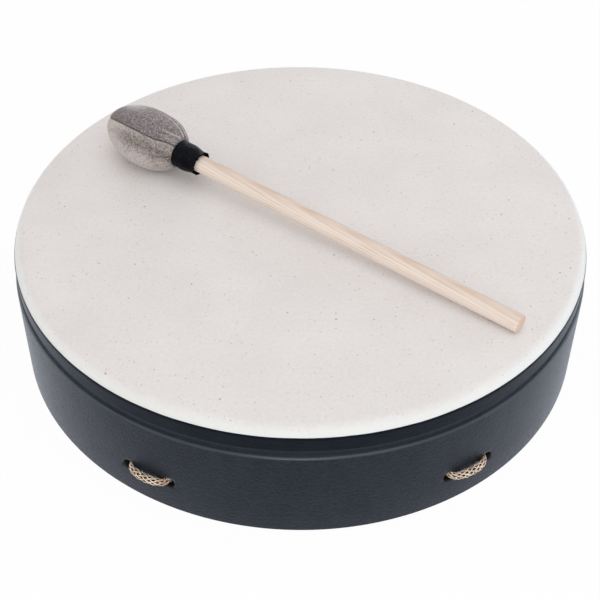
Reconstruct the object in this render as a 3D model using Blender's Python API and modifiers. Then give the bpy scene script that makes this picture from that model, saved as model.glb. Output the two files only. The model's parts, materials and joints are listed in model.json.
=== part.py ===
"""Buffalo drum: a wide, shallow frame drum with a rope hand grip, and its padded mallet.

Metres, +Z up. The origin is on the drum's axis, on the floor under the bottom rim.
The drum stands on that rim with its drumhead up, two rope stitches face -Y, and the
mallet lies across the drumhead. An azimuth is counted from -Y towards +X.
"""
from math import asin, atan2, cos, degrees, pi, radians, sin

import bmesh
import bpy
from mathutils import Matrix, Vector

# Clearance kept between pieces that touch on the real object
FIT_GAP = 0.0003

# Shell: a fibreboard hoop with a lip set in over its shoulder and a thin neck
SHELL_RADIUS = 0.2034
SHELL_WALL = 0.0105
SHOULDER_ROUND = 0.0018
LIP_RISE = 0.0051
LIP_INSET = 0.0022
BOTTOM_ROUND = 0.0012
NECK_WALL = 0.0026
BEARING_ROUND = 0.0012

# Drumhead, its hoop and the tape over its collar
HEAD_HEIGHT = 0.0949
RIM_DEPTH = 0.0178
FILM_THICKNESS = 0.0006
FILM_SHOW = 0.0059
EDGE_ROUND = 0.008
COLLAR_LIFT = 0.0066
BAND_INSET = 0.0002
BAND_LEAN = 0.0008
TAPE_THICKNESS = 0.0005

# Rope grip: two doubled cords that cross under the drumhead, lashed at the crossing
CORD_DIAMETER = 0.006
HOLE_CLEARANCE = 0.002
HOLE_SPACING = 0.0306
GRIP_HEIGHT = 0.0263
GRIP_ANGLE = radians(61.1)
GRIP_TURN = radians(2.15)
STITCH_BEND_INNER = 0.0008
STITCH_BEND_TURN = radians(86.0)
CORD_JOIN = 0.012
CORD_END_GAP = 0.0006
LASHING_DIAMETER = 0.004
LASHING_GAP = 0.0008
LASHING_TURNS = 3
LASHING_DROP = 0.003

# Mallet: a dowel with a padded, leather-covered head, taped at the neck
MALLET_LENGTH = 0.347
MALLET_BUTT_INSET = 0.0205
MALLET_BUTT_AZIMUTH = radians(50.77)
MALLET_HEADING = radians(144.8)
STICK_DIAMETER = 0.0127
STICK_END_ROUND = 0.001
STICK_TIP_DEPTH = 0.014
COVER_DIAMETER = 0.0432
COVER_FRONT = 0.035
COVER_BACK = 0.0331
COVER_BACK_POWER = 2.5
COVER_THICKNESS = 0.0012
COVER_SLEEVE = 0.013
GATHER_COUNT = 12
GATHER_HEIGHT = 0.0009
GATHER_REACH = 0.021
GATHER_FOOT = 0.0015
SEAM_ANGLE = radians(140.0)
SEAM_WIDTH = radians(9.0)
SEAM_DEPTH = 0.0005
SEAM_START = 0.003
CORE_RIM = 0.0006
NECK_TAPE_LENGTH = 0.0205
NECK_TAPE_THICKNESS = 0.0012
NECK_TAPE_TAIL = 0.001

# How finely round shapes are divided
DRUM_SEGMENTS = 72
STICK_SEGMENTS = 20
COVER_SEGMENTS = 48
CORE_SEGMENTS = 24
HEAD_ROWS = 6
HOLE_SEGMENTS = 12
BEND_STEPS = 4
CROWN_STEPS = 2
EDGE_STEPS = 8
CORD_BEVEL_SEGMENTS = 3
LASHING_BEVEL_SEGMENTS = 1
MERGE_DISTANCE = 0.00001

# Sizes that follow from the ones above
CORD_RADIUS = CORD_DIAMETER / 2
HOLE_RADIUS = (CORD_DIAMETER + HOLE_CLEARANCE) / 2
HOLE_HALF_ANGLE = asin(HOLE_SPACING / 2 / SHELL_RADIUS)
STRAND_OFFSET = (CORD_DIAMETER + FIT_GAP) / 2
UPPER_CORD_HEIGHT = GRIP_HEIGHT + STRAND_OFFSET
LOWER_CORD_HEIGHT = GRIP_HEIGHT - STRAND_OFFSET
LEFT_AZIMUTH = GRIP_TURN - GRIP_ANGLE / 2
RIGHT_AZIMUTH = GRIP_TURN + GRIP_ANGLE / 2
SHELL_INNER_RADIUS = SHELL_RADIUS - SHELL_WALL
NECK_RADIUS = SHELL_INNER_RADIUS + NECK_WALL
LIP_HEIGHT = HEAD_HEIGHT - RIM_DEPTH
SHOULDER_HEIGHT = LIP_HEIGHT - LIP_RISE
BAND_FOOT = LIP_HEIGHT + FIT_GAP
BAND_TOP = HEAD_HEIGHT - FILM_SHOW
FILM_INSET = TAPE_THICKNESS + FIT_GAP
HOOP_INSET = FILM_INSET + FILM_THICKNESS + FIT_GAP
STICK_RADIUS = STICK_DIAMETER / 2
COVER_RADIUS = COVER_DIAMETER / 2
SLEEVE_BORE = STICK_RADIUS + FIT_GAP
SLEEVE_RADIUS = SLEEVE_BORE + COVER_THICKNESS


def clear_scene():
    """Remove every object of the scene the script is run in."""
    for item in list(bpy.data.objects):
        bpy.data.objects.remove(item, do_unlink=True)


def new_collection(name):
    """Return a new collection linked to the scene."""
    collection = bpy.data.collections.new(name)
    bpy.context.scene.collection.children.link(collection)
    return collection


def new_material(name, colour, roughness):
    """Return a Principled material of one colour and roughness; nothing here is metal."""
    material = bpy.data.materials.new(name)
    material.use_nodes = True
    shader = material.node_tree.nodes["Principled BSDF"]
    shader.inputs["Base Color"].default_value = (*colour, 1.0)
    shader.inputs["Roughness"].default_value = roughness
    shader.inputs["Metallic"].default_value = 0.0
    material.diffuse_color = (*colour, 1.0)
    return material


def add_object(name, data, material, collection, parent=None):
    """Link a new object that carries the given mesh or curve."""
    item = bpy.data.objects.new(name, data)
    data.materials.append(material)
    collection.objects.link(item)
    item.parent = parent
    return item


def arc(centre_r, centre_z, radius, start, end, steps):
    """Points of a round corner in a turned profile, as (r, z); angles from +r to +z."""
    points = []
    for step in range(steps + 1):
        angle = start + (end - start) * step / steps
        points.append((centre_r + radius * cos(angle), centre_z + radius * sin(angle)))
    return points


def turned(name, profile, segments, material, collection, closed=True, parent=None):
    """Turn a profile round Z with a Screw modifier; it runs down its outer side."""
    mesh = bpy.data.meshes.new(name)
    edges = [(index, index + 1) for index in range(len(profile) - 1)]
    if closed:
        edges.append((len(profile) - 1, 0))
    mesh.from_pydata([(r, 0.0, z) for r, z in profile], edges, [])
    item = add_object(name, mesh, material, collection, parent)
    screw = item.modifiers.new("Turn", "SCREW")
    screw.axis = "Z"
    screw.angle = 2 * pi
    screw.steps = segments
    screw.render_steps = segments
    screw.use_merge_vertices = True
    screw.merge_threshold = MERGE_DISTANCE
    screw.use_smooth_shade = True
    return item


def tube(name, points, radius, bevel, material, collection):
    """Sweep a round cord along points with a bevelled curve and filled caps."""
    curve = bpy.data.curves.new(name, "CURVE")
    curve.dimensions = "3D"
    curve.bevel_depth = radius
    curve.bevel_resolution = bevel
    curve.use_fill_caps = True
    spline = curve.splines.new("POLY")
    spline.points.add(len(points) - 1)
    for target, point in zip(spline.points, points):
        target.co = (*point, 1.0)
    return add_object(name, curve, material, collection)


def polar(azimuth, radius, height):
    """A point at an azimuth counted from -Y towards +X."""
    return Vector((radius * sin(azimuth), -radius * cos(azimuth), height))


# Drum body

def hole_azimuths():
    """The azimuth of each rope hole: a pair of holes at both ends of both cords."""
    azimuths = []
    for pair in (LEFT_AZIMUTH, RIGHT_AZIMUTH, LEFT_AZIMUTH + pi, RIGHT_AZIMUTH + pi):
        azimuths.extend((pair - HOLE_HALF_ANGLE, pair + HOLE_HALF_ANGLE))
    return azimuths


def add_hole_cutters(cutters):
    """A radial cylinder through the shell wall for each rope hole."""
    for azimuth in hole_azimuths():
        centre = polar(azimuth, SHELL_RADIUS - SHELL_WALL / 2, GRIP_HEIGHT)
        bpy.ops.mesh.primitive_cylinder_add(
            vertices=HOLE_SEGMENTS,
            radius=HOLE_RADIUS,
            depth=2 * SHELL_WALL,
            location=centre,
            rotation=(pi / 2, 0.0, azimuth),
        )
        cutter = bpy.context.object
        cutter.name = "rope_hole_cutter"
        for holder in list(cutter.users_collection):
            holder.objects.unlink(cutter)
        cutters.objects.link(cutter)
        cutter.hide_render = True
        cutter.display_type = "WIRE"


def add_shell(material, collection, cutters):
    """The hoop-shaped shell: thick wall, set-in lip, thin neck with the bearing edge."""
    edge_height = HEAD_HEIGHT - FILM_THICKNESS - FIT_GAP
    inner = SHELL_INNER_RADIUS
    profile = [(inner, edge_height)]
    profile += arc(NECK_RADIUS - BEARING_ROUND, edge_height - BEARING_ROUND, BEARING_ROUND, pi / 2, 0, 2)
    lip = SHELL_RADIUS - LIP_INSET
    profile += [(NECK_RADIUS, LIP_HEIGHT), (lip, LIP_HEIGHT), (lip, SHOULDER_HEIGHT)]
    shoulder = SHOULDER_HEIGHT - SHOULDER_ROUND
    profile += arc(SHELL_RADIUS - SHOULDER_ROUND, shoulder, SHOULDER_ROUND, pi / 2, 0, 4)
    profile += arc(SHELL_RADIUS - BOTTOM_ROUND, BOTTOM_ROUND, BOTTOM_ROUND, 0, -pi / 2, 3)
    profile += arc(inner + BOTTOM_ROUND, BOTTOM_ROUND, BOTTOM_ROUND, -pi / 2, -pi, 3)
    shell = turned("shell", profile, DRUM_SEGMENTS, material, collection)
    cut = shell.modifiers.new("Rope holes", "BOOLEAN")
    cut.operation = "DIFFERENCE"
    cut.operand_type = "COLLECTION"
    cut.collection = cutters


def band_radius(height):
    """Outer radius of the black band, which leans in a little from its foot to its top."""
    share = (height - BAND_FOOT) / (BAND_TOP - BAND_FOOT)
    return SHELL_RADIUS - BAND_INSET - BAND_LEAN * share


def add_head_hoop(material, collection):
    """The hoop round the neck, on the lip, that stretches the film over the bearing edge."""
    top = HEAD_HEIGHT - EDGE_ROUND
    bore = NECK_RADIUS + FIT_GAP
    profile = [
        (bore, top),
        (band_radius(top) - HOOP_INSET, top),
        (band_radius(BAND_FOOT) - HOOP_INSET, BAND_FOOT),
        (bore, BAND_FOOT),
    ]
    turned("head_hoop", profile, DRUM_SEGMENTS, material, collection)


def add_drumhead(material, collection):
    """The film: a flat disc, a round edge and a collar drawn down over the hoop."""
    bend_height = HEAD_HEIGHT - EDGE_ROUND
    collar_end = BAND_FOOT + COLLAR_LIFT
    outer = band_radius(bend_height) - FILM_INSET
    foot = band_radius(collar_end) - FILM_INSET
    underside = HEAD_HEIGHT - FILM_THICKNESS
    profile = [(0.0, HEAD_HEIGHT)]
    profile += arc(outer - EDGE_ROUND, bend_height, EDGE_ROUND, pi / 2, 0, EDGE_STEPS)
    profile.append((foot, collar_end))
    profile.append((foot - FILM_THICKNESS, collar_end))
    profile += arc(outer - EDGE_ROUND, bend_height, EDGE_ROUND - FILM_THICKNESS, 0, pi / 2, EDGE_STEPS)
    profile.append((0.0, underside))
    turned("drumhead", profile, DRUM_SEGMENTS, material, collection, closed=False)


def add_trim_tape(material, collection):
    """The black tape that covers the collar from the lip up to the white edge."""
    profile = [
        (band_radius(BAND_TOP) - TAPE_THICKNESS, BAND_TOP),
        (band_radius(BAND_TOP), BAND_TOP),
        (band_radius(BAND_FOOT), BAND_FOOT),
        (band_radius(BAND_FOOT) - TAPE_THICKNESS, BAND_FOOT),
    ]
    turned("trim_tape", profile, DRUM_SEGMENTS, material, collection)


# Rope grip

def stitch_profile():
    """Half of an outside stitch, hole to middle: (share of the half spacing, height off the shell)."""
    bend = CORD_RADIUS + STITCH_BEND_INNER
    half = HOLE_SPACING / 2
    points = []
    for step in range(BEND_STEPS + 1):
        turn = STITCH_BEND_TURN * step / BEND_STEPS
        points.append((half - bend * (1 - cos(turn)), bend * sin(turn)))
    across, height = points[-1]
    crown_radius = across / cos(STITCH_BEND_TURN)
    for step in range(1, CROWN_STEPS + 1):
        turn = STITCH_BEND_TURN + (pi / 2 - STITCH_BEND_TURN) * step / CROWN_STEPS
        points.append((crown_radius * cos(turn), height + crown_radius * (sin(turn) - sin(STITCH_BEND_TURN))))
    return [(across / half, height) for across, height in points]


def cord_route(azimuth, middle_height):
    """The route of one doubled cord: out and back across the drum, with a stitch at each end."""
    close_radius = STRAND_OFFSET / sin(HOLE_HALF_ANGLE)

    def strand(end, side):
        """From beside the crossing out to the hole, at one end and on one side."""
        runs = (close_radius, middle_height), (SHELL_INNER_RADIUS, GRIP_HEIGHT)
        turn = HOLE_HALF_ANGLE * side
        return [(end * r * cos(turn), r * sin(turn), z) for r, z in runs]

    def stitch(end, side):
        """Out through the hole on one side and back in through the other."""
        half = stitch_profile()
        shares = half + [(-share, height) for share, height in reversed(half[:-1])]
        points = []
        for share, height in shares:
            turn = HOLE_HALF_ANGLE * share * side
            r = SHELL_RADIUS + height
            points.append((end * r * cos(turn), r * sin(turn), GRIP_HEIGHT))
        return points

    local = [(-CORD_JOIN, -STRAND_OFFSET, middle_height)]
    local += strand(1, -1) + stitch(1, -1) + strand(1, 1)[::-1]
    local += strand(-1, 1) + stitch(-1, 1) + strand(-1, -1)[::-1]
    local.append((-CORD_JOIN - CORD_END_GAP, -STRAND_OFFSET, middle_height))
    along = polar(azimuth, 1.0, 0.0)
    across = polar(azimuth + pi / 2, 1.0, 0.0)
    return [along * x + across * y + Vector((0.0, 0.0, z)) for x, y, z in local]


def lashing_route():
    """An outward winding over the upper cord and under the lower one, arm after arm."""
    radius = LASHING_DIAMETER / 2
    clear = CORD_RADIUS + LASHING_GAP + radius
    first = STRAND_OFFSET + clear
    pitch = LASHING_DIAMETER + LASHING_GAP
    arms = []
    for turn in (0.0, pi):
        arms.append((LEFT_AZIMUTH + turn, UPPER_CORD_HEIGHT + clear, -1))
        arms.append((RIGHT_AZIMUTH + turn, LOWER_CORD_HEIGHT - clear, 1))

    def corner(index):
        """Where the winding passes between two arms, in the corner after arm index."""
        arm = index % len(arms)
        start = arms[arm][0]
        end = arms[(arm + 1) % len(arms)][0]
        half = ((end - start) % (2 * pi)) / 2
        distance = first + pitch * index / len(arms)
        return polar(start + half, distance / sin(half), 0.0)

    points = []
    for index in range(LASHING_TURNS * len(arms)):
        level, towards = arms[index % len(arms)][1:]
        before = corner(index - 1)
        after = corner(index)
        rows = (0.0, LASHING_DROP), (0.2, radius / 8), (0.5, 0.0), (0.8, radius / 8), (1.0, LASHING_DROP)
        for share, drop in rows:
            point = before.lerp(after, share)
            point.z = level + towards * drop
            points.append(point)
    return points


def least_gap(points, diameter):
    """The least clear distance between two turns of one cord, measured on points along it."""
    spots = []
    travelled = 0.0
    for start, end in zip(points, points[1:]):
        steps = max(1, round((end - start).length / (diameter / 4)))
        for step in range(steps):
            spots.append((travelled + (end - start).length * step / steps, start.lerp(end, step / steps)))
        travelled += (end - start).length
    least = travelled
    for place, (here, spot) in enumerate(spots):
        for there, other in spots[place + 1:]:
            if there - here > 4 * diameter:
                least = min(least, (other - spot).length - diameter)
    return least


def add_grip(material, lashing_material, collection):
    """Both doubled cords and the lashing at their crossing."""
    routes = {
        "grip_cord_a": cord_route(LEFT_AZIMUTH, UPPER_CORD_HEIGHT),
        "grip_cord_b": cord_route(RIGHT_AZIMUTH, LOWER_CORD_HEIGHT),
    }
    for name, route in routes.items():
        tube(name, route, CORD_RADIUS, CORD_BEVEL_SEGMENTS, material, collection)
    winding = lashing_route()
    gap = least_gap(winding, LASHING_DIAMETER)
    print(f"grip_lashing: least gap between turns {gap * 1000:.2f} mm")
    tube("grip_lashing", winding, LASHING_DIAMETER / 2, LASHING_BEVEL_SEGMENTS, lashing_material, collection)


# Mallet, modelled with its butt at the origin and its head up the local Z axis

def head_profile(inset, cut_radius):
    """The egg-shaped head's profile from tip to neck, moved in by inset, as (r, z)."""
    middle = MALLET_LENGTH - COVER_FRONT
    radius = COVER_RADIUS - inset
    front = COVER_FRONT - inset
    back = COVER_BACK - inset
    points = []
    for step in range(HEAD_ROWS):
        angle = pi / 2 * step / HEAD_ROWS
        points.append((radius * sin(angle), middle + front * cos(angle)))
    last = pi - asin(cut_radius / radius)
    for step in range(HEAD_ROWS + 1):
        angle = pi / 2 + (last - pi / 2) * step / HEAD_ROWS
        points.append((radius * sin(angle), middle - back * abs(cos(angle)) ** (2 / COVER_BACK_POWER)))
    return points


def skin_lift(angle, height):
    """How far the cover's skin stands out at a place: gathers at the neck, less the seam's groove."""
    lift = 0.0
    foot = head_profile(0.0, SLEEVE_RADIUS)[-1][1] + GATHER_FOOT
    rise = (height - foot) / GATHER_REACH
    if 0.0 < rise < 1.0:
        lift += GATHER_HEIGHT * sin(pi * rise) ** 2 * (1 + cos(GATHER_COUNT * angle)) / 2
    away = (angle - SEAM_ANGLE + pi) % (2 * pi) - pi
    if abs(away) < SEAM_WIDTH and height < MALLET_LENGTH - SEAM_START:
        lift -= SEAM_DEPTH * (1 + cos(pi * away / SEAM_WIDTH)) / 2
    return lift


def add_mallet_cover(material, collection, parent):
    """The leather cover: a thin egg-shaped skin with a seam, gathered into a sleeve at the neck."""
    outer = head_profile(0.0, SLEEVE_RADIUS)
    inner = head_profile(COVER_THICKNESS, SLEEVE_BORE)
    sleeve_end = outer[-1][1] - COVER_SLEEVE
    profile = outer + [(SLEEVE_RADIUS, sleeve_end), (SLEEVE_BORE, sleeve_end)] + inner[::-1]
    bm = bmesh.new()
    skin = bm.verts.layers.int.new("skin")
    verts = [bm.verts.new((r, 0.0, z)) for r, z in profile]
    edges = [bm.edges.new(pair) for pair in zip(verts, verts[1:])]
    for vert in verts[1:len(outer) - 1]:
        vert[skin] = 1
    bmesh.ops.spin(
        bm,
        geom=verts + edges,
        axis=(0.0, 0.0, 1.0),
        cent=(0.0, 0.0, 0.0),
        angle=2 * pi,
        steps=COVER_SEGMENTS,
    )
    bmesh.ops.remove_doubles(bm, verts=bm.verts, dist=MERGE_DISTANCE)
    bmesh.ops.recalc_face_normals(bm, faces=bm.faces)
    for vert in bm.verts:
        if vert[skin]:
            out = Vector((vert.co.x, vert.co.y, 0.0)).normalized()
            vert.co += out * skin_lift(atan2(out.y, out.x), vert.co.z)
    mesh = bpy.data.meshes.new("mallet_cover")
    bm.to_mesh(mesh)
    bm.free()
    mesh.shade_smooth()
    add_object("mallet_cover", mesh, material, collection, parent)


def add_mallet_core(material, collection, parent):
    """The felt core inside the cover, bored for the stick from the neck end."""
    inset = COVER_THICKNESS + FIT_GAP
    profile = head_profile(inset, SLEEVE_BORE + CORE_RIM)
    bore_end = MALLET_LENGTH - STICK_TIP_DEPTH + FIT_GAP
    profile += [(SLEEVE_BORE, profile[-1][1]), (SLEEVE_BORE, bore_end), (0.0, bore_end)]
    turned("mallet_core", profile, CORE_SEGMENTS, material, collection, closed=False, parent=parent)


def add_mallet_stick(material, collection, parent):
    """The dowel, from its rounded butt to its end inside the core."""
    tip = MALLET_LENGTH - STICK_TIP_DEPTH
    profile = [(0.0, tip)]
    profile += arc(STICK_RADIUS - STICK_END_ROUND, tip - STICK_END_ROUND, STICK_END_ROUND, pi / 2, 0, 2)
    profile += arc(STICK_RADIUS - STICK_END_ROUND, STICK_END_ROUND, STICK_END_ROUND, 0, -pi / 2, 3)
    profile.append((0.0, 0.0))
    turned("mallet_stick", profile, STICK_SEGMENTS, material, collection, closed=False, parent=parent)


def add_mallet_tape(material, collection, parent):
    """The tape wound over the cover's sleeve and on to the bare stick."""
    neck = head_profile(0.0, SLEEVE_RADIUS)[-1][1]
    top = neck - FIT_GAP
    end = top - NECK_TAPE_LENGTH
    step = neck - COVER_SLEEVE - FIT_GAP
    over_sleeve = SLEEVE_RADIUS + FIT_GAP
    profile = [
        (over_sleeve, top),
        (over_sleeve + NECK_TAPE_THICKNESS, top),
        (over_sleeve + NECK_TAPE_THICKNESS, step),
        (SLEEVE_BORE + NECK_TAPE_TAIL, end),
        (SLEEVE_BORE, end),
        (SLEEVE_BORE, step),
        (over_sleeve, step),
    ]
    turned("mallet_tape", profile, CORE_SEGMENTS, material, collection, parent=parent)


def add_mallet_axis(collection):
    """An empty at the butt whose Z runs up the stick; butt and head both rest on the drumhead."""
    rest = HEAD_HEIGHT + FIT_GAP
    tilt = asin((COVER_RADIUS - STICK_RADIUS) / (MALLET_LENGTH - COVER_FRONT))
    height = rest + STICK_RADIUS * cos(tilt)
    place = polar(MALLET_BUTT_AZIMUTH, SHELL_RADIUS - MALLET_BUTT_INSET, height)
    lean = Matrix.Rotation(pi / 2 - tilt, 4, "Y")
    axis = bpy.data.objects.new("mallet_axis", None)
    collection.objects.link(axis)
    axis.matrix_world = Matrix.Translation(place) @ Matrix.Rotation(MALLET_HEADING, 4, "Z") @ lean
    print(f"mallet_axis: tilt {degrees(tilt):.2f} degrees")
    return axis


def main():
    """Build the drum and its mallet."""
    clear_scene()
    parts = new_collection("buffalo_drum")
    cutters = new_collection("cutters")
    board = new_material("charcoal fibreboard", (0.028, 0.034, 0.043), 0.7)
    film = new_material("white film", (0.76, 0.72, 0.71), 0.55)
    hoop = new_material("hoop fibreboard", (0.25, 0.17, 0.11), 0.8)
    band = new_material("black tape", (0.018, 0.018, 0.02), 0.5)
    rope = new_material("braided rope", (0.55, 0.42, 0.29), 0.85)
    ash = new_material("pale hardwood", (0.74, 0.6, 0.45), 0.5)
    felt = new_material("felt", (0.6, 0.58, 0.52), 0.95)
    suede = new_material("grey suede", (0.34, 0.3, 0.28), 0.95)
    vinyl = new_material("gloss black tape", (0.012, 0.012, 0.014), 0.3)

    add_hole_cutters(cutters)
    add_shell(board, parts, cutters)
    add_head_hoop(hoop, parts)
    add_drumhead(film, parts)
    add_trim_tape(band, parts)
    add_grip(rope, rope, parts)
    axis = add_mallet_axis(parts)
    add_mallet_stick(ash, parts, axis)
    add_mallet_core(felt, parts, axis)
    add_mallet_cover(suede, parts, axis)
    add_mallet_tape(vinyl, parts, axis)


main()
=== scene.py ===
"""Looks of the buffalo drum: film head, coated fibre shell, braided rope grip and padded mallet.

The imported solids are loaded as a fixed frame. Each class below models one sub-assembly round
that frame, in metres, and dresses it with procedural finishes. An azimuth is counted from -Y,
the side that faces the viewer, towards +X.
"""
from __future__ import annotations

import json
import logging
import math
from dataclasses import dataclass
from enum import Enum, IntEnum
from typing import Any, Callable, Iterable, Sequence

import bmesh
import bpy
import numpy as np
from mathutils import Matrix, Vector, kdtree, noise

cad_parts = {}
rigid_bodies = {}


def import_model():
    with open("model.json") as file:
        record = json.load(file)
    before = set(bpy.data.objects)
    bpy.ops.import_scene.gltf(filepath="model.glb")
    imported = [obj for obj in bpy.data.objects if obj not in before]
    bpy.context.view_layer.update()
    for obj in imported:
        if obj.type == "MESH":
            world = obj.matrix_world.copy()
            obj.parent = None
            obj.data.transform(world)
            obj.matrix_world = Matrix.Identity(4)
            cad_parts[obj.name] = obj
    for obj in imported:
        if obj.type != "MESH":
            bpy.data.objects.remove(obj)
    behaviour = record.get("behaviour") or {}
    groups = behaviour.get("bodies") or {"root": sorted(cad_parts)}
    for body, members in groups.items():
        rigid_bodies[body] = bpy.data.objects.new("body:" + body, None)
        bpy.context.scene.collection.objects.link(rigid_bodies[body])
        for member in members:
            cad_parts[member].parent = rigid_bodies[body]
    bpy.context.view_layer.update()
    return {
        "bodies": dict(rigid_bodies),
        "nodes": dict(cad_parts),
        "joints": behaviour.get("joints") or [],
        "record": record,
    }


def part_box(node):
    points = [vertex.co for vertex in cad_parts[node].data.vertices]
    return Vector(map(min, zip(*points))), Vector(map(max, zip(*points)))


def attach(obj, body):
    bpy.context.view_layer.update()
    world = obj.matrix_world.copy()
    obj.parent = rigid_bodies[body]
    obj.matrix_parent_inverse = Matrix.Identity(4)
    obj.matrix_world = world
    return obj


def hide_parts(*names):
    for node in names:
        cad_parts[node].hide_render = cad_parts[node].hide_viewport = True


LOG = logging.getLogger("buffalo_drum")
IMAGE_SIZE = 600
SENSOR_WIDTH = 36.0
MERGE_DISTANCE = 1e-6
POLE_RADIUS = 1e-5
FULL_TURN = 2 * math.pi

Colour = tuple[float, float, float, float]
Profile = list[tuple[float, float]]


class Body(str, Enum):
    """The rigid bodies that pieces ride on."""

    DRUM = "drum"
    MALLET = "mallet"


class ShellFace(IntEnum):
    """Material slots of the shell."""

    COAT = 0
    FIBRE = 1
    HOLE_SHADE = 2


class RopeFace(IntEnum):
    """Material slots of a rope."""

    YARN = 0
    HEART = 1


def grey(level: float) -> Colour:
    """An opaque neutral colour of one level."""
    return (level, level, level, 1.0)


def polar(azimuth: float, radius: float, height: float) -> Vector:
    """A point at an azimuth counted from -Y towards +X."""
    return Vector((radius * math.sin(azimuth), -radius * math.cos(azimuth), height))


def smooth_step(value: float) -> float:
    """A soft ramp from 0 to 1 while value goes from 0 to 1."""
    share = min(1.0, max(0.0, value))
    return share * share * (3.0 - 2.0 * share)


# Shader graphs written as expressions

class Wire:
    """One output of a shader graph, with arithmetic that adds Math nodes."""

    def __init__(self, graph: Graph, socket: bpy.types.NodeSocket) -> None:
        """Keep the graph and the socket that the value comes out of."""
        self.graph = graph
        self.socket = socket

    def _maths(self, operation: str, first: Any, second: Any) -> Wire:
        """Add one Math node."""
        return self.graph.make("ShaderNodeMath", {"operation": operation}, {0: first, 1: second})

    def __add__(self, other: Any) -> Wire:
        """Sum."""
        return self._maths("ADD", self, other)

    __radd__ = __add__

    def __sub__(self, other: Any) -> Wire:
        """Difference."""
        return self._maths("SUBTRACT", self, other)

    def __rsub__(self, other: Any) -> Wire:
        """Difference from a plain number."""
        return self._maths("SUBTRACT", other, self)

    def __mul__(self, other: Any) -> Wire:
        """Product."""
        return self._maths("MULTIPLY", self, other)

    __rmul__ = __mul__

    def __truediv__(self, other: Any) -> Wire:
        """Quotient."""
        return self._maths("DIVIDE", self, other)

    def __pow__(self, other: Any) -> Wire:
        """Power."""
        return self._maths("POWER", self, other)

    def clamped(self) -> Wire:
        """The value held between 0 and 1."""
        return self.graph.make("ShaderNodeClamp", {}, {0: self})

    def size(self) -> Wire:
        """The value without its sign."""
        return self._maths("ABSOLUTE", self, 0.0)

    def ramp(self, low: float, high: float) -> Wire:
        """A soft mask that goes from 0 at low to 1 at high."""
        sockets = {0: self, 1: low, 2: high, 3: 0.0, 4: 1.0}
        return self.graph.make("ShaderNodeMapRange", {"interpolation_type": "SMOOTHSTEP"}, sockets)


class Graph:
    """A material's node tree round one Principled shader."""

    def __init__(self, name: str) -> None:
        """Start a material that has a Principled shader and an output.

        Args:
            name: The material's name.
        """
        self.material = bpy.data.materials.new(name)
        self.material.use_nodes = True
        self.tree = self.material.node_tree
        self.shader = self.tree.nodes["Principled BSDF"]

    def make(self, kind: str, settings: dict[str, Any] | None = None,
             sockets: dict[Any, Any] | None = None, output: Any = 0) -> Wire:
        """Add a node.

        Args:
            kind: The node's type.
            settings: Properties of the node, which are set first.
            sockets: Values or wires for its inputs, by name or number.
            output: The output that the returned wire carries.

        Returns:
            The wire of that output.
        """
        node = self.tree.nodes.new(kind)
        for key, value in (settings or {}).items():
            setattr(node, key, value)
        for key, value in (sockets or {}).items():
            if isinstance(value, Wire):
                self.tree.links.new(value.socket, node.inputs[key])
            else:
                node.inputs[key].default_value = value
        return Wire(self, node.outputs[output])

    def place(self, matrix: Matrix | None = None) -> Wire:
        """Object coordinates, turned into a piece's own frame when its matrix is given.

        Args:
            matrix: Where the piece lies, for a pattern in the piece's own frame.

        Returns:
            The coordinates in metres.
        """
        coordinates = self.make("ShaderNodeTexCoord", output="Object")
        if matrix is None:
            return coordinates
        inverse = matrix.inverted()
        sockets = {
            "Vector": coordinates,
            "Location": inverse.to_translation(),
            "Rotation": inverse.to_euler("XYZ"),
        }
        return self.make("ShaderNodeMapping", {"vector_type": "POINT"}, sockets)

    def axes(self, vector: Wire) -> tuple[Wire, Wire, Wire]:
        """The three parts of a vector."""
        node = self.make("ShaderNodeSeparateXYZ", {}, {0: vector}).socket.node
        return tuple(Wire(self, output) for output in node.outputs)

    def stretched(self, vector: Wire, scale: tuple[float, float, float]) -> Wire:
        """A vector scaled along its own axes."""
        sockets = {"Vector": vector, "Scale": scale}
        return self.make("ShaderNodeMapping", {"vector_type": "POINT"}, sockets)

    def grains(self, vector: Wire, scale: float, detail: float = 2.0, rough: float = 0.5) -> Wire:
        """Noise from 0 to 1 at a number of grains a metre."""
        sockets = {"Vector": vector, "Scale": scale, "Detail": detail, "Roughness": rough}
        return self.make("ShaderNodeTexNoise", {}, sockets, "Fac")

    def cells(self, vector: Wire, scale: float) -> tuple[Wire, Wire]:
        """Points scattered over a vector's space.

        Args:
            vector: The coordinates.
            scale: Cells a metre, with one point in each.

        Returns:
            The distance to the nearest point, in cells, and a random number from 0 to 1 for that point.
        """
        near = self.make("ShaderNodeTexVoronoi", {}, {"Vector": vector, "Scale": scale}, "Distance")
        colour = Wire(self, near.socket.node.outputs["Color"])
        chance = self.make("ShaderNodeSeparateColor", {}, {0: colour}, "Red")
        return near, chance

    def tint(self, share: Any, first: Any, second: Any) -> Wire:
        """A colour between two colours."""
        return self.make("ShaderNodeMix", {"data_type": "RGBA"}, {0: share, 6: first, 7: second}, 2)

    def relief(self, height: Wire, depth: float, strength: float = 1.0) -> Wire:
        """A bumped normal from a height of 0 to 1 that stands for depth metres."""
        sockets = {"Strength": strength, "Distance": depth, "Height": height}
        return self.make("ShaderNodeBump", {}, sockets)

    def ray(self, kind: str) -> Wire:
        """A mask of the rays of one kind."""
        return self.make("ShaderNodeLightPath", {}, {}, f"Is {kind} Ray")

    def feed(self, **inputs: Any) -> None:
        """Set the shader's inputs.

        Args:
            inputs: Values or wires by the inputs' names, written with underscores.
        """
        for key, value in inputs.items():
            target = self.shader.inputs[key.replace("_", " ").title().replace("Ior", "IOR")]
            if isinstance(value, Wire):
                self.tree.links.new(value.socket, target)
            else:
                target.default_value = value

    def finish(self, **inputs: Any) -> bpy.types.Material:
        """Set the shader's inputs and return the material."""
        self.feed(**inputs)
        return self.material


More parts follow.
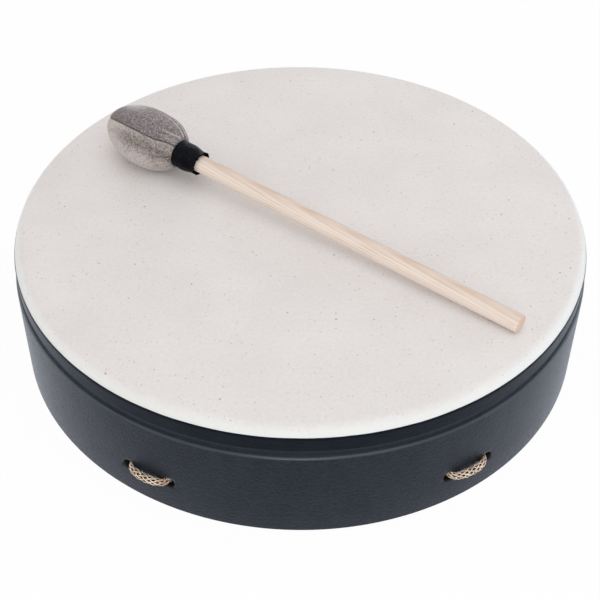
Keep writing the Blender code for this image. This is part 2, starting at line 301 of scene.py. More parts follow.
class WorldGraph(Graph):
    """The world's node tree round its Background shader."""

    def __init__(self, name: str) -> None:
        """Start a world and give it to the scene.

        Args:
            name: The world's name.
        """
        world = bpy.data.worlds.new(name)
        world.use_nodes = True
        self.tree = world.node_tree
        self.shader = self.tree.nodes["Background"]
        bpy.context.scene.world = world


# Finishes

@dataclass(frozen=True)
class CharcoalCoat:
    """The shell's blue-black textured coating, paler along the shoulder's edge as wear with a painted
    highlight, and a little paler in the groove above it as painted light.
    """

    radius: float
    shoulder: float
    deep: Colour = (0.0045, 0.007, 0.011, 1.0)
    pale: Colour = (0.017, 0.022, 0.031, 1.0)
    worn_edge_highlight: Colour = (0.034, 0.038, 0.047, 1.0)
    edge_highlight_depth: float = 0.0015
    edge_highlight_drop: float = 0.0022
    ledge_light_share: float = 0.08
    pebble_scale: float = 540.0
    pebble_depth: float = 0.0004
    streak_scale: float = 230.0
    cloud_scale: float = 75.0
    wear_scale: float = 90.0

    def material(self) -> bpy.types.Material:
        """Build the coating.

        Returns:
            The finished material.
        """
        graph = Graph("charcoal coat")
        here = graph.place()
        pebble = graph.grains(here, self.pebble_scale, 3.0, 0.6)
        streak = graph.grains(graph.stretched(here, (1.0, 1.0, 4.5)), self.streak_scale, 3.0, 0.6)
        cloud = graph.grains(graph.stretched(here, (1.0, 1.0, 0.35)), self.cloud_scale, 2.0)
        share = pebble * 1.3 + streak * 1.5 + cloud * 0.7 - 1.25
        base = graph.tint(share.clamped(), self.deep, self.pale)
        x, y, height = graph.axes(here)
        reach = (x ** 2.0 + y ** 2.0) ** 0.5
        # Wear and painted highlight: the outer edge of the shoulder is painted paler.
        out = reach.ramp(self.radius - self.edge_highlight_depth, self.radius - self.edge_highlight_depth * 0.3)
        near = out * height.ramp(self.shoulder - self.edge_highlight_drop, self.shoulder - self.edge_highlight_drop * 0.5)
        wear_and_highlight = near * (graph.grains(here, self.wear_scale, 3.0).ramp(0.2, 0.7) * 0.3 + 0.65)
        # Painted light: the groove above the shoulder, which the band shades, is painted a little paler.
        wear_and_highlight = wear_and_highlight + height.ramp(self.shoulder - 0.0002, self.shoulder + 0.0006) * self.ledge_light_share
        return graph.finish(
            base_color=graph.tint(wear_and_highlight, base, self.worn_edge_highlight),
            roughness=pebble * 0.26 + 0.21,
            specular_ior_level=0.115,
            specular_tint=(0.88, 0.95, 1.0, 1.0),
            coat_weight=near * 0.5,
            coat_roughness=0.22,
            normal=graph.relief(pebble, self.pebble_depth, 0.8),
        )


@dataclass(frozen=True)
class RawFibre:
    """Bare pressed fibre: the shell's inside, the rope holes, whose near-black copy is painted shade, and
    the hidden hoop.
    """

    name: str = "raw fibre"
    dark: Colour = (0.03, 0.016, 0.01, 1.0)
    warm: Colour = (0.11, 0.055, 0.032, 1.0)
    fibre_scale: float = 700.0
    fibre_depth: float = 0.0003
    patch_scale: float = 55.0

    def material(self) -> bpy.types.Material:
        """Build the fibreboard with its short fibres.

        Returns:
            The finished material.
        """
        graph = Graph(self.name)
        here = graph.place()
        fibre = graph.grains(graph.stretched(here, (1.0, 1.0, 3.0)), self.fibre_scale, 4.0, 0.65)
        patch = graph.grains(here, self.patch_scale, 2.0)
        share = (fibre * 0.75 + patch * 0.45 - 0.1).clamped()
        return graph.finish(
            base_color=graph.tint(share, self.dark, self.warm),
            roughness=fibre * 0.15 + 0.78,
            specular_ior_level=0.2,
            normal=graph.relief(fibre, self.fibre_depth, 0.6),
        )


@dataclass(frozen=True)
class FibrousFilm:
    """The head's off-white film, with a faint fibre mottle, sparse specks and a whiter bend, partly the
    film's own tone and partly a painted highlight.
    """

    bend_radius: float
    bend_depth: float
    light: Colour = (0.81, 0.772, 0.765, 1.0)
    shade: Colour = (0.715, 0.67, 0.657, 1.0)
    speck: Colour = (0.34, 0.30, 0.28, 1.0)
    bare_bend_highlight: Colour = (0.80, 0.83, 0.825, 1.0)
    bend_highlight_reach: float = 0.006
    fibre_scale: float = 400.0
    fibre_depth: float = 0.00008
    cloud_scale: float = 26.0
    dot_scale: float = 125.0
    grit_scale: float = 300.0

    def material(self) -> bpy.types.Material:
        """Build the film.

        Returns:
            The finished material.
        """
        graph = Graph("fibrous film")
        here = graph.place()
        fibre = graph.grains(here, self.fibre_scale, 4.0, 0.6)
        cloud = graph.grains(here, self.cloud_scale, 3.0)
        base = graph.tint((fibre * 1.45 + cloud * 0.95 - 0.7).clamped(), self.shade, self.light)
        large, large_chance = graph.cells(here, self.dot_scale)
        small, small_chance = graph.cells(here, self.grit_scale)
        dots = ((large_chance * 0.11 - large) / 0.03).clamped() * large_chance.ramp(0.35, 0.75)
        grit = ((small_chance * 0.24 - small) / 0.08).clamped() * 0.4
        marks = (dots * 0.85 + grit).clamped()
        x, y, _ = graph.axes(here)
        rim = self.bend_radius + self.bend_depth
        radius = (x ** 2.0 + y ** 2.0) ** 0.5
        # Partly painted highlight, partly the film's own tone: the film turns whiter and loses its specks
        # towards the bend.
        edge = (((radius - rim) / self.bend_highlight_reach + 1.0).clamped() ** 1.6).clamped()
        return graph.finish(
            base_color=graph.tint(edge, graph.tint(marks, base, self.speck), self.bare_bend_highlight),
            roughness=fibre * 0.12 + 0.44,
            specular_ior_level=0.4,
            normal=graph.relief(fibre, self.fibre_depth, 0.4),
        )


@dataclass(frozen=True)
class CollarTape:
    """The satin black tape over the head's collar."""

    black: Colour = (0.0006, 0.0018, 0.0045, 1.0)
    dusty: Colour = (0.0045, 0.0088, 0.0165, 1.0)
    weave_scale: float = 520.0
    weave_depth: float = 0.0003
    patch_scale: float = 60.0

    def material(self) -> bpy.types.Material:
        """Build the tape.

        Returns:
            The finished material.
        """
        graph = Graph("collar tape")
        here = graph.place()
        weave = graph.grains(here, self.weave_scale, 3.0, 0.6)
        patch = graph.grains(here, self.patch_scale, 2.0)
        share = (weave * 1.2 + patch * 0.9 - 0.6).clamped()
        return graph.finish(
            base_color=graph.tint(share, self.black, self.dusty),
            roughness=weave * 0.2 + 0.24,
            specular_ior_level=0.066,
            normal=graph.relief(weave, self.weave_depth, 0.7),
        )


@dataclass(frozen=True)
class RopeYarn:
    """Tan synthetic yarn, with filaments that run along each strand of the braid; each strand is painted
    lighter on its crest as a highlight and near black down its sides as painted shade in the gaps.
    """

    straw: Colour = (1.0, 0.835, 0.66, 1.0)
    amber: Colour = (0.29, 0.125, 0.048, 1.0)
    gap_shade: Colour = (0.03, 0.014, 0.006, 1.0)
    filaments: float = 1500.0
    filament_depth: float = 0.00025
    patch_scale: float = 130.0

    def material(self) -> bpy.types.Material:
        """Build the yarn from the strands' own UV map, in metres, and their height out of the gaps.

        Returns:
            The finished material.
        """
        graph = Graph("rope yarn")
        around = graph.make("ShaderNodeUVMap", {"uv_map": "strand"})
        lay = graph.stretched(around, (self.filaments, self.filaments * 0.06, 1.0))
        filament = graph.grains(lay, 1.0, 2.0, 0.5)
        patch = graph.grains(graph.place(), self.patch_scale, 2.0)
        crest = graph.make("ShaderNodeAttribute", {"attribute_name": "crest"}, {}, "Fac")
        # Painted highlight on the strands' crests and painted shade down their sides, where they dive into
        # the gaps.
        share = (filament * 3.4 + patch * 0.6 - 1.15).clamped() * crest.ramp(0.25, 0.8)
        deep = (1.0 - crest.ramp(-0.1, 0.5)) * 0.97
        return graph.finish(
            base_color=graph.tint(deep, graph.tint(share, self.amber, self.straw), self.gap_shade),
            roughness=filament * 0.2 + 0.22,
            specular_ior_level=0.9,
            normal=graph.relief(filament, self.filament_depth, 0.7),
        )


@dataclass(frozen=True)
class RopeHeart:
    """The core that shows between the strands of the braid; its near-black colour is painted shade in the
    gaps.
    """

    gap_shade_brown: Colour = (0.016, 0.009, 0.005, 1.0)
    tan: Colour = (0.05, 0.028, 0.016, 1.0)
    fibre_scale: float = 1400.0

    def material(self) -> bpy.types.Material:
        """Build the core.

        Returns:
            The finished material.
        """
        graph = Graph("rope heart")
        # Painted shade: the core is coloured near black where it shows in the gaps.
        fibre = graph.grains(graph.place(), self.fibre_scale, 2.0)
        return graph.finish(
            base_color=graph.tint(fibre, self.gap_shade_brown, self.tan),
            roughness=fibre * 0.1 + 0.85,
            specular_ior_level=0.1,
        )


@dataclass(frozen=True)
class AshWood:
    """Sanded pale hardwood with fine straight grain along the dowel, and one side of the dowel painted
    darker as shade.
    """

    matrix: Matrix
    cream: Colour = (0.85, 0.755, 0.68, 1.0)
    rose_grain_and_shade: Colour = (0.655, 0.505, 0.415, 1.0)
    pore: Colour = (0.50, 0.32, 0.21, 1.0)
    end_grain: Colour = (0.66, 0.45, 0.33, 1.0)
    heart_offset: float = 0.021
    shaded_side: tuple[float, float] = (0.73, 0.68)
    ring_width: float = 0.0011
    drift_scale: float = 60.0
    drift_reach: float = 0.0045
    line_scale: float = 1250.0
    line_depth: float = 0.0001
    broad_scale: float = 190.0
    end_depth: tuple[float, float] = (0.0002, 0.0011)

    def material(self) -> bpy.types.Material:
        """Build the wood in the dowel's own frame, whose Z runs along the stick.

        Returns:
            The finished material.
        """
        graph = Graph("ash wood")
        here = graph.place(self.matrix)
        x, y, z = graph.axes(graph.stretched(here, (1.0, 1.0, 0.05)))
        drift = graph.grains(graph.stretched(here, (1.0, 1.0, 0.06)), self.drift_scale, 2.0)
        ring = ((x + self.heart_offset) ** 2.0 + y ** 2.0) ** 0.5 + drift * self.drift_reach
        turned = graph.make("ShaderNodeMath", {"operation": "PINGPONG"}, {0: ring + z, 1: self.ring_width})
        growth = turned / self.ring_width
        lines = graph.grains(graph.stretched(here, (1.0, 1.0, 0.018)), self.line_scale, 3.0, 0.6)
        pores = lines.ramp(0.5, 0.68) * (growth.ramp(0.3, 1.0) * 0.75 + 0.25)
        broad = graph.grains(graph.stretched(here, (1.0, 1.0, 0.03)), self.broad_scale, 2.0)
        # Painted shade: one side of the dowel is darkened towards the rose colour, which also carries the
        # grain.
        heart = 1.0 - (x * self.shaded_side[0] + y * self.shaded_side[1]).ramp(-0.005, 0.002)
        share = growth * 0.38 + broad * 0.45 + heart * 0.55 - 0.18
        base = graph.tint(share.clamped(), self.cream, self.rose_grain_and_shade)
        end = 1.0 - graph.axes(here)[2].ramp(*self.end_depth)
        return graph.finish(
            base_color=graph.tint(end * 0.7, graph.tint(pores * 0.65, base, self.pore), self.end_grain),
            roughness=lines * 0.15 + 0.42,
            specular_ior_level=0.35,
            normal=graph.relief(1.0 - lines, self.line_depth, 0.35),
        )


@dataclass(frozen=True)
class GreySuede:
    """Napped suede in two panels, the upper one darker, with a dark seam; its folds carry a painted
    highlight on their crests and painted shade in their creases and near the neck, the top of the upper
    panel a painted sheen, and the lower panel painted light towards its rim.

    It reads two attributes of the cover: across, the way from the seam in metres, positive on the upper
    panel, and fold, from -1 in a crease to 1 on a crest.
    """

    matrix: Matrix
    length: float
    upper: Colour = (0.206, 0.173, 0.184, 1.0)
    upper_foot: Colour = (0.14, 0.117, 0.118, 1.0)
    crown_sheen: Colour = (0.76, 0.735, 0.80, 1.0)
    lower: Colour = (0.199, 0.166, 0.157, 1.0)
    lit_lower_rim: Colour = (0.545, 0.484, 0.471, 1.0)
    shadow: Colour = (0.07, 0.057, 0.053, 1.0)
    bright: Colour = (0.62, 0.57, 0.55, 1.0)
    stitch_line: Colour = (0.035, 0.028, 0.025, 1.0)
    line_width: float = 0.0007
    cloud_scale: float = 110.0
    cloud_reach: float = 0.004
    tip_reach: tuple[float, float] = (0.012, 0.036)
    tuft_scale: float = 780.0
    nap_scale: float = 1900.0
    nap_depth: float = 0.00045

    def material(self) -> bpy.types.Material:
        """Build the suede.

        Returns:
            The finished material.
        """
        graph = Graph("grey suede")
        here = graph.place()
        across = graph.make("ShaderNodeAttribute", {"attribute_name": "across"}, {}, "Fac")
        fold = graph.make("ShaderNodeAttribute", {"attribute_name": "fold"}, {}, "Fac")
        cloud = graph.grains(here, self.cloud_scale, 3.0) * (2 * self.cloud_reach) - self.cloud_reach
        from_tip = self.length - graph.axes(graph.place(self.matrix))[2]
        tip = 1.0 - (from_tip + cloud).ramp(*self.tip_reach)
        foot = (1.0 - (across + cloud).ramp(0.0, 0.0085)) * (tip * 0.8 + 0.2)
        # Painted sheen: the top of the upper panel is lightened towards a pale grey.
        painted_crown_sheen = (across + cloud * 0.5).ramp(0.0085, 0.0185) * (tip * 0.85 + 0.12)
        upper = graph.tint(painted_crown_sheen, graph.tint(foot, self.upper, self.upper_foot), self.crown_sheen)
        # Painted light: the lower panel is lightened towards its lower rim for light bounced off the film;
        # it is also lighter near the tip and just below the seam.
        by_seam = (1.0 - (cloud - across).ramp(0.002, 0.008)) * 0.5
        rim = ((cloud - across).ramp(0.006, 0.0185) + by_seam + tip * 0.75).clamped()
        lower = graph.tint(rim, self.lower, self.lit_lower_rim)
        base = graph.tint(across.ramp(-0.0004, 0.0004), lower, upper)
        tuft = graph.grains(here, self.tuft_scale, 2.0, 0.65) - 0.5
        nap = graph.grains(here, self.nap_scale, 2.0, 0.6)
        base = graph.tint((tuft * -4.5).clamped() * (0.76 - tip * 0.36), base, self.shadow)
        base = graph.tint((tuft * 4.5).clamped() * (0.55 - tip * 0.22), base, self.bright)
        # Painted shade in the creases and near the neck, painted highlight on the crests of the folds.
        base = graph.tint((fold * -1.0).clamped() * 0.6, base, self.shadow)
        base = graph.tint(fold.clamped() * 0.7, base, self.bright)
        line = 1.0 - (across.size() / self.line_width).clamped()
        return graph.finish(
            base_color=graph.tint(line * 0.9, base, self.stitch_line),
            roughness=nap * 0.08 + 0.88,
            specular_ior_level=0.1,
            sheen_weight=0.3,
            sheen_roughness=0.45,
            normal=graph.relief(nap * 0.5 + tuft * 0.5, self.nap_depth, 0.7),
        )


@dataclass(frozen=True)
class GlossTape:
    """Glossy black vinyl tape with fine stretch creases."""

    black: Colour = (0.0006, 0.0007, 0.0014, 1.0)
    worn: Colour = (0.003, 0.0034, 0.006, 1.0)
    crease_scale: float = 330.0
    crease_depth: float = 0.0012
    patch_scale: float = 160.0

    def material(self) -> bpy.types.Material:
        """Build the tape.

        Returns:
            The finished material.
        """
        graph = Graph("gloss tape")
        here = graph.place()
        crease = graph.grains(here, self.crease_scale, 3.0, 0.55)
        patch = graph.grains(here, self.patch_scale, 2.0)
        return graph.finish(
            base_color=graph.tint(patch, self.black, self.worn),
            roughness=patch * 0.16 + 0.06,
            specular_ior_level=0.05,
            normal=graph.relief(crease, self.crease_depth, 0.9),
        )


@dataclass(frozen=True)
class PressedFelt:
    """The felt inside the mallet's head."""

    wool: Colour = (0.62, 0.58, 0.5, 1.0)
    shade: Colour = (0.45, 0.41, 0.34, 1.0)
    fibre_scale: float = 900.0
    fibre_depth: float = 0.0004

    def material(self) -> bpy.types.Material:
        """Build the felt.

        Returns:
            The finished material.
        """
        graph = Graph("pressed felt")
        fibre = graph.grains(graph.place(), self.fibre_scale, 4.0, 0.7)
        return graph.finish(
            base_color=graph.tint(fibre, self.shade, self.wool),
            roughness=fibre * 0.1 + 0.88,
            normal=graph.relief(fibre, self.fibre_depth, 0.6),
        )


# Mesh helpers

def arc(centre: tuple[float, float], radius: float, start: float, end: float, steps: int) -> Profile:
    """Points of a round corner in a turned profile, as (r, z), with angles from +r to +z."""
    turns = [start + (end - start) * step / steps for step in range(steps + 1)]
    return [(centre[0] + radius * math.cos(turn), centre[1] + radius * math.sin(turn)) for turn in turns]


def spun(profile: Profile, steps: int, closed: bool) -> bmesh.types.BMesh:
    """Spin a profile round Z.

    Args:
        profile: Points as (r, z); an open profile starts and ends on the axis.
        steps: Steps of the full turn.
        closed: Whether the last point joins the first.

    Returns:
        The closed surface, with its normals pointing out.
    """
    bm = bmesh.new()
    verts = [bm.verts.new((r, 0.0, z)) for r, z in profile]
    pairs = list(zip(verts, verts[1:]))
    if closed:
        pairs.append((verts[-1], verts[0]))
    edges = [bm.edges.new(pair) for pair in pairs]
    bmesh.ops.spin(bm, geom=verts + edges, axis=(0, 0, 1), cent=(0, 0, 0), angle=FULL_TURN,
                   steps=steps, use_merge=True)
    bmesh.ops.remove_doubles(bm, verts=bm.verts, dist=MERGE_DISTANCE)
    bmesh.ops.recalc_face_normals(bm, faces=bm.faces)
    return bm


def as_object(name: str, bm: bmesh.types.BMesh, materials: Iterable[bpy.types.Material],
              sharp: float = math.radians(35.0)) -> bpy.types.Object:
    """Turn a bmesh into a linked, smooth-shaded object at the origin.

    Args:
        name: The object's name.
        bm: Its mesh, which is freed.
        materials: Its materials, in the order of the faces' slots.
        sharp: The angle past which an edge stays sharp.

    Returns:
        The object.
    """
    mesh = bpy.data.meshes.new(name)
    bm.to_mesh(mesh)
    bm.free()
    for material in materials:
        mesh.materials.append(material)
    mesh.shade_smooth()
    mesh.set_sharp_from_angle(angle=sharp)
    item = bpy.data.objects.new(name, mesh)
    bpy.context.scene.collection.objects.link(item)
    return item


def bake_modifiers(item: bpy.types.Object) -> None:
    """Replace an object's mesh by what its modifiers make of it.

    Args:
        item: The object, which loses its modifiers.
    """
    bpy.context.view_layer.update()
    ready = item.evaluated_get(bpy.context.evaluated_depsgraph_get())
    mesh = bpy.data.meshes.new_from_object(ready)
    item.modifiers.clear()
    item.data = mesh


def stand_in(piece: bpy.types.Object, node: str, body: Body) -> None:
    """Let a piece ride on a body in place of a CAD node, and report it.

    Args:
        piece: The modelled piece.
        node: The CAD node that it stands for.
        body: The body that it moves with.
    """
    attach(piece, body.value)
    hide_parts(node)
    faces = len(piece.data.polygons)
    LOG.info("%s stands for %s on %s, %d faces", piece.name, node, body.value, faces)


# Routes of cords

def resampled(points: np.ndarray, step: float) -> np.ndarray:
    """The same line with points at an even step along it.

    Args:
        points: Rows of x, y, z and any further columns, which are carried along.
        step: The distance between the new points.

    Returns:
        The new rows.
    """
    spans = np.linalg.norm(np.diff(points[:, :3], axis=0), axis=1)
    along = np.concatenate(([0.0], np.cumsum(spans)))
    places = np.linspace(0.0, along[-1], int(along[-1] / step) + 1)
    columns = [np.interp(places, along, points[:, column]) for column in range(points.shape[1])]
    return np.stack(columns, axis=1)


def relaxed(points: np.ndarray, rounds: int) -> np.ndarray:
    """The same line with its corners eased, and its ends kept.

    Args:
        points: Rows of x, y, z and any further columns.
        rounds: How often each point moves half way to the middle of its neighbours.

    Returns:
        The eased rows.
    """
    line = points.copy()
    for _ in range(rounds):
        line[1:-1] = line[1:-1] * 0.5 + (line[:-2] + line[2:]) * 0.25
    return line


def carried_frames(line: np.ndarray) -> tuple[np.ndarray, np.ndarray, np.ndarray]:
    """Directions along a line.

    Args:
        line: The line's points.

    Returns:
        Its tangents, and two normals that are carried along it without twisting.
    """
    tangents = np.gradient(line, axis=0)
    tangents /= np.linalg.norm(tangents, axis=1, keepdims=True)
    normals = np.zeros_like(line)
    carried = np.array((0.0, 0.0, 1.0))
    for index, tangent in enumerate(tangents):
        carried = carried - tangent * carried.dot(tangent)
        carried /= np.linalg.norm(carried)
        normals[index] = carried
    return tangents, normals, np.cross(tangents, normals)


def empty_cord() -> bmesh.types.BMesh:
    """Start a mesh for strands.

    Returns:
        An empty mesh with the UV layer and the height layer that each strand fills.
    """
    bm = bmesh.new()
    bm.loops.layers.uv.new("strand")
    bm.verts.layers.float.new("crest")
    return bm


def oval_tube(bm: bmesh.types.BMesh, line: np.ndarray, out: np.ndarray, half_width: float,
              half_height: float, sides: int, slot: int) -> None:
    """Add a closed oval tube along a line to a bmesh.

    Args:
        bm: The mesh that takes the tube; it has a UV layer named strand and a float layer named crest.
        line: The tube's centre points.
        out: The direction of the oval's height at each point.
        half_width: Half of the oval across that direction.
        half_height: Half of the oval along that direction.
        sides: Sides of the oval.
        slot: Material slot of the faces.
    """
    tangents = np.gradient(line, axis=0)
    tangents /= np.linalg.norm(tangents, axis=1, keepdims=True)
    side = np.cross(tangents, out)
    rows = len(line) - 1
    sheet = empty_cord()
    sheet_uv = sheet.loops.layers.uv["strand"]
    crest = sheet.verts.layers.float["crest"]
    bmesh.ops.create_grid(sheet, x_segments=sides, y_segments=rows, size=0.5, calc_uvs=True)
    girth = math.pi * (half_width + half_height)
    length = float(np.linalg.norm(np.diff(line, axis=0), axis=1).sum())
    for face in sheet.faces:
        face.material_index = slot
        face.smooth = True
        for loop in face.loops:
            loop[sheet_uv].uv = (loop[sheet_uv].uv.x * girth, loop[sheet_uv].uv.y * length)
    for vert in sheet.verts:
        row = round((vert.co.y + 0.5) * rows)
        turn = (vert.co.x + 0.5) * FULL_TURN
        reach = side[row] * (half_width * math.cos(turn)) + out[row] * (half_height * math.sin(turn))
        vert.co = line[row] + reach
        vert[crest] = math.sin(turn)
    bmesh.ops.remove_doubles(sheet, verts=sheet.verts, dist=MERGE_DISTANCE)
    rims = [edge for edge in sheet.edges if edge.is_boundary]
    bmesh.ops.holes_fill(sheet, edges=rims, sides=0)
    bmesh.ops.recalc_face_normals(sheet, faces=sheet.faces)
    mesh = bpy.data.meshes.new("tube")
    sheet.to_mesh(mesh)
    sheet.free()
    bm.from_mesh(mesh)
    bpy.data.meshes.remove(mesh)


# Drum

@dataclass(frozen=True)
class DrumSizes:
    """Sizes of the drum that several pieces share, in metres."""

    radius: float
    head_height: float
    wall: float = 0.0105
    shoulder_height: float = 0.072
    lip_height: float = 0.0771
    lip_inset: float = 0.0022
    neck_wall: float = 0.0026
    band_inset: float = 0.0002
    band_lean: float = 0.0014
    film_show: float = 0.0063
    film_thickness: float = 0.0006
    tape_thickness: float = 0.0003
    fit_gap: float = 0.0003
    grip_height: float = 0.0263
    hole_spacing: float = 0.0306
    hole_radius: float = 0.004
    cord_diameter: float = 0.006
    grip_angle: float = math.radians(61.1)
    grip_turn: float = math.radians(2.15)

    @classmethod
    def from_frame(cls) -> DrumSizes:
        """Read the overall sizes from the CAD nodes."""
        return cls(radius=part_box("shell")[1].x, head_height=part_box("drumhead")[1].z)

    @property
    def inner_radius(self) -> float:
        """Inner radius of the shell."""
        return self.radius - self.wall

    @property
    def band_foot(self) -> float:
        """Height of the collar tape's lower edge."""
        return self.lip_height + self.fit_gap

    @property
    def band_top(self) -> float:
        """Height of the collar tape's upper edge."""
        return self.head_height - self.film_show

    @property
    def hole_half_angle(self) -> float:
        """Half the angle between the two holes of a pair."""
        return math.asin(self.hole_spacing / 2 / self.radius)

    @property
    def left_azimuth(self) -> float:
        """Azimuth of the front left pair of holes."""
        return self.grip_turn - self.grip_angle / 2

    @property
    def right_azimuth(self) -> float:
        """Azimuth of the front right pair of holes."""
        return self.grip_turn + self.grip_angle / 2

    def band_radius(self, height: float) -> float:
        """Outer radius of the band at a height; it leans in a little towards its top."""
        share = (height - self.band_foot) / (self.band_top - self.band_foot)
        return self.radius - self.band_inset - self.band_lean * share


@dataclass
class FibreShell:
    """The coated hoop with its shoulder, set-in lip, neck and eight rope holes."""

    sizes: DrumSizes
    steps: int = 288
    shoulder_round: float = 0.0019
    bottom_round: float = 0.0014
    bearing_round: float = 0.0012
    lip_cove: float = 0.0009
    shoulder_slope: float = 0.6
    shoulder_wobble: float = 0.00022
    wobble_scale: float = 38.0
    hole_flare: float = 0.0004
    hole_margin: float = 0.0055
    hole_ragged: float = 0.00014
    ragged_scale: float = 900.0
    ragged_shift: float = 9.0
    hole_steps: int = 40

    def profile(self) -> Profile:
        """The wall's section.

        Returns:
            Its points, down the outer side and up the inner one, with a row on either side of the holes.
        """
        sizes = self.sizes
        edge = sizes.head_height - sizes.film_thickness - sizes.fit_gap
        neck = sizes.inner_radius + sizes.neck_wall
        outer = sizes.radius
        inner = sizes.inner_radius
        shoulder = (outer - self.shoulder_round, sizes.shoulder_height - self.shoulder_round)
        bearing = (neck - self.bearing_round, edge - self.bearing_round)
        lip = outer - sizes.lip_inset
        cove = (lip + self.lip_cove, sizes.shoulder_height + self.lip_cove)
        outer_foot = (outer - self.bottom_round, self.bottom_round)
        inner_foot = (inner + self.bottom_round, self.bottom_round)
        over_holes = sizes.grip_height + self.hole_margin
        under_holes = sizes.grip_height - self.hole_margin
        points: Profile = [(inner, edge)]
        points += arc(bearing, self.bearing_round, math.pi / 2, 0, 4)
        points += [(neck, sizes.lip_height), (lip, sizes.lip_height)]
        points += arc(cove, self.lip_cove, math.pi, 1.5 * math.pi - self.shoulder_slope, 5)
        points += arc(shoulder, self.shoulder_round, math.pi / 2 - self.shoulder_slope, 0, 9)
        points += [(outer, over_holes), (outer, under_holes)]
        points += arc(outer_foot, self.bottom_round, 0, -math.pi / 2, 6)
        points += arc(inner_foot, self.bottom_round, -math.pi / 2, -math.pi, 6)
        points += [(inner, under_holes), (inner, over_holes)]
        return points

    def cutter(self) -> bpy.types.Object:
        """The eight rope holes, slightly flared and ragged at the surface.

        Returns:
            All of them as one cutter.
        """
        sizes = self.sizes
        reach = 2 * sizes.wall
        flared = sizes.hole_radius + self.hole_flare
        shape = [(0.0, reach), (flared, reach), (flared, 0.0), (sizes.hole_radius, -self.hole_flare),
                 (sizes.hole_radius, -reach), (0.0, -reach)]
        whole = bmesh.new()
        for pair in (sizes.left_azimuth, sizes.right_azimuth):
            for azimuth in (pair, pair + math.pi):
                for side in (-1, 1):
                    turn = azimuth + side * sizes.hole_half_angle
                    hole = spun(shape, self.hole_steps, False)
                    for vert in hole.verts:
                        shift = Vector((turn, 0.0, 0.0)) * self.ragged_shift
                        jitter = noise.noise(vert.co * self.ragged_scale + shift)
                        vert.co.xy *= 1.0 + jitter * self.hole_ragged / sizes.hole_radius
                    for face in hole.faces:
                        # The hole walls take the near-black finish, which is painted shade inside the holes.
                        face.material_index = ShellFace.HOLE_SHADE
                    lie = Matrix.Rotation(turn, 4, "Z") @ Matrix.Rotation(math.pi / 2, 4, "X")
                    place = Matrix.Translation(polar(turn, sizes.radius, sizes.grip_height))
                    bmesh.ops.transform(hole, matrix=place @ lie, verts=hole.verts)
                    mesh = bpy.data.meshes.new("hole")
                    hole.to_mesh(mesh)
                    hole.free()
                    whole.from_mesh(mesh)
                    bpy.data.meshes.remove(mesh)
        return as_object("rope_hole_cutter", whole, [])

    def build(self, coat: bpy.types.Material, fibre: bpy.types.Material,
              painted_hole_shade: bpy.types.Material) -> None:
        """Spin the wall, roughen its shoulder line, drill it and give each face its finish.

        Args:
            coat: Finish of the outside.
            fibre: Finish of the inside.
            painted_hole_shade: Finish of the holes, near black as painted shade.
        """
        sizes = self.sizes
        bm = spun(self.profile(), self.steps, True)
        for vert in bm.verts:
            near = 1.0 - abs(vert.co.z - sizes.shoulder_height) / (2 * self.shoulder_round)
            if near > 0.0 and vert.co.xy.length > sizes.radius - 2 * self.shoulder_round:
                vert.co.z += noise.noise(vert.co * self.wobble_scale) * self.shoulder_wobble * near
        inside = sizes.inner_radius + self.bottom_round / 2
        for face in bm.faces:
            if face.calc_center_median().xy.length < inside:
                face.material_index = ShellFace.FIBRE
        shell = as_object("fibre_shell", bm, [coat, fibre, painted_hole_shade])
        cutter = self.cutter()
        drill = shell.modifiers.new("rope holes", "BOOLEAN")
        drill.operation = "DIFFERENCE"
        drill.solver = "EXACT"
        drill.object = cutter
        bake_modifiers(shell)
        bpy.data.objects.remove(cutter)
        stand_in(shell, "shell", Body.DRUM)


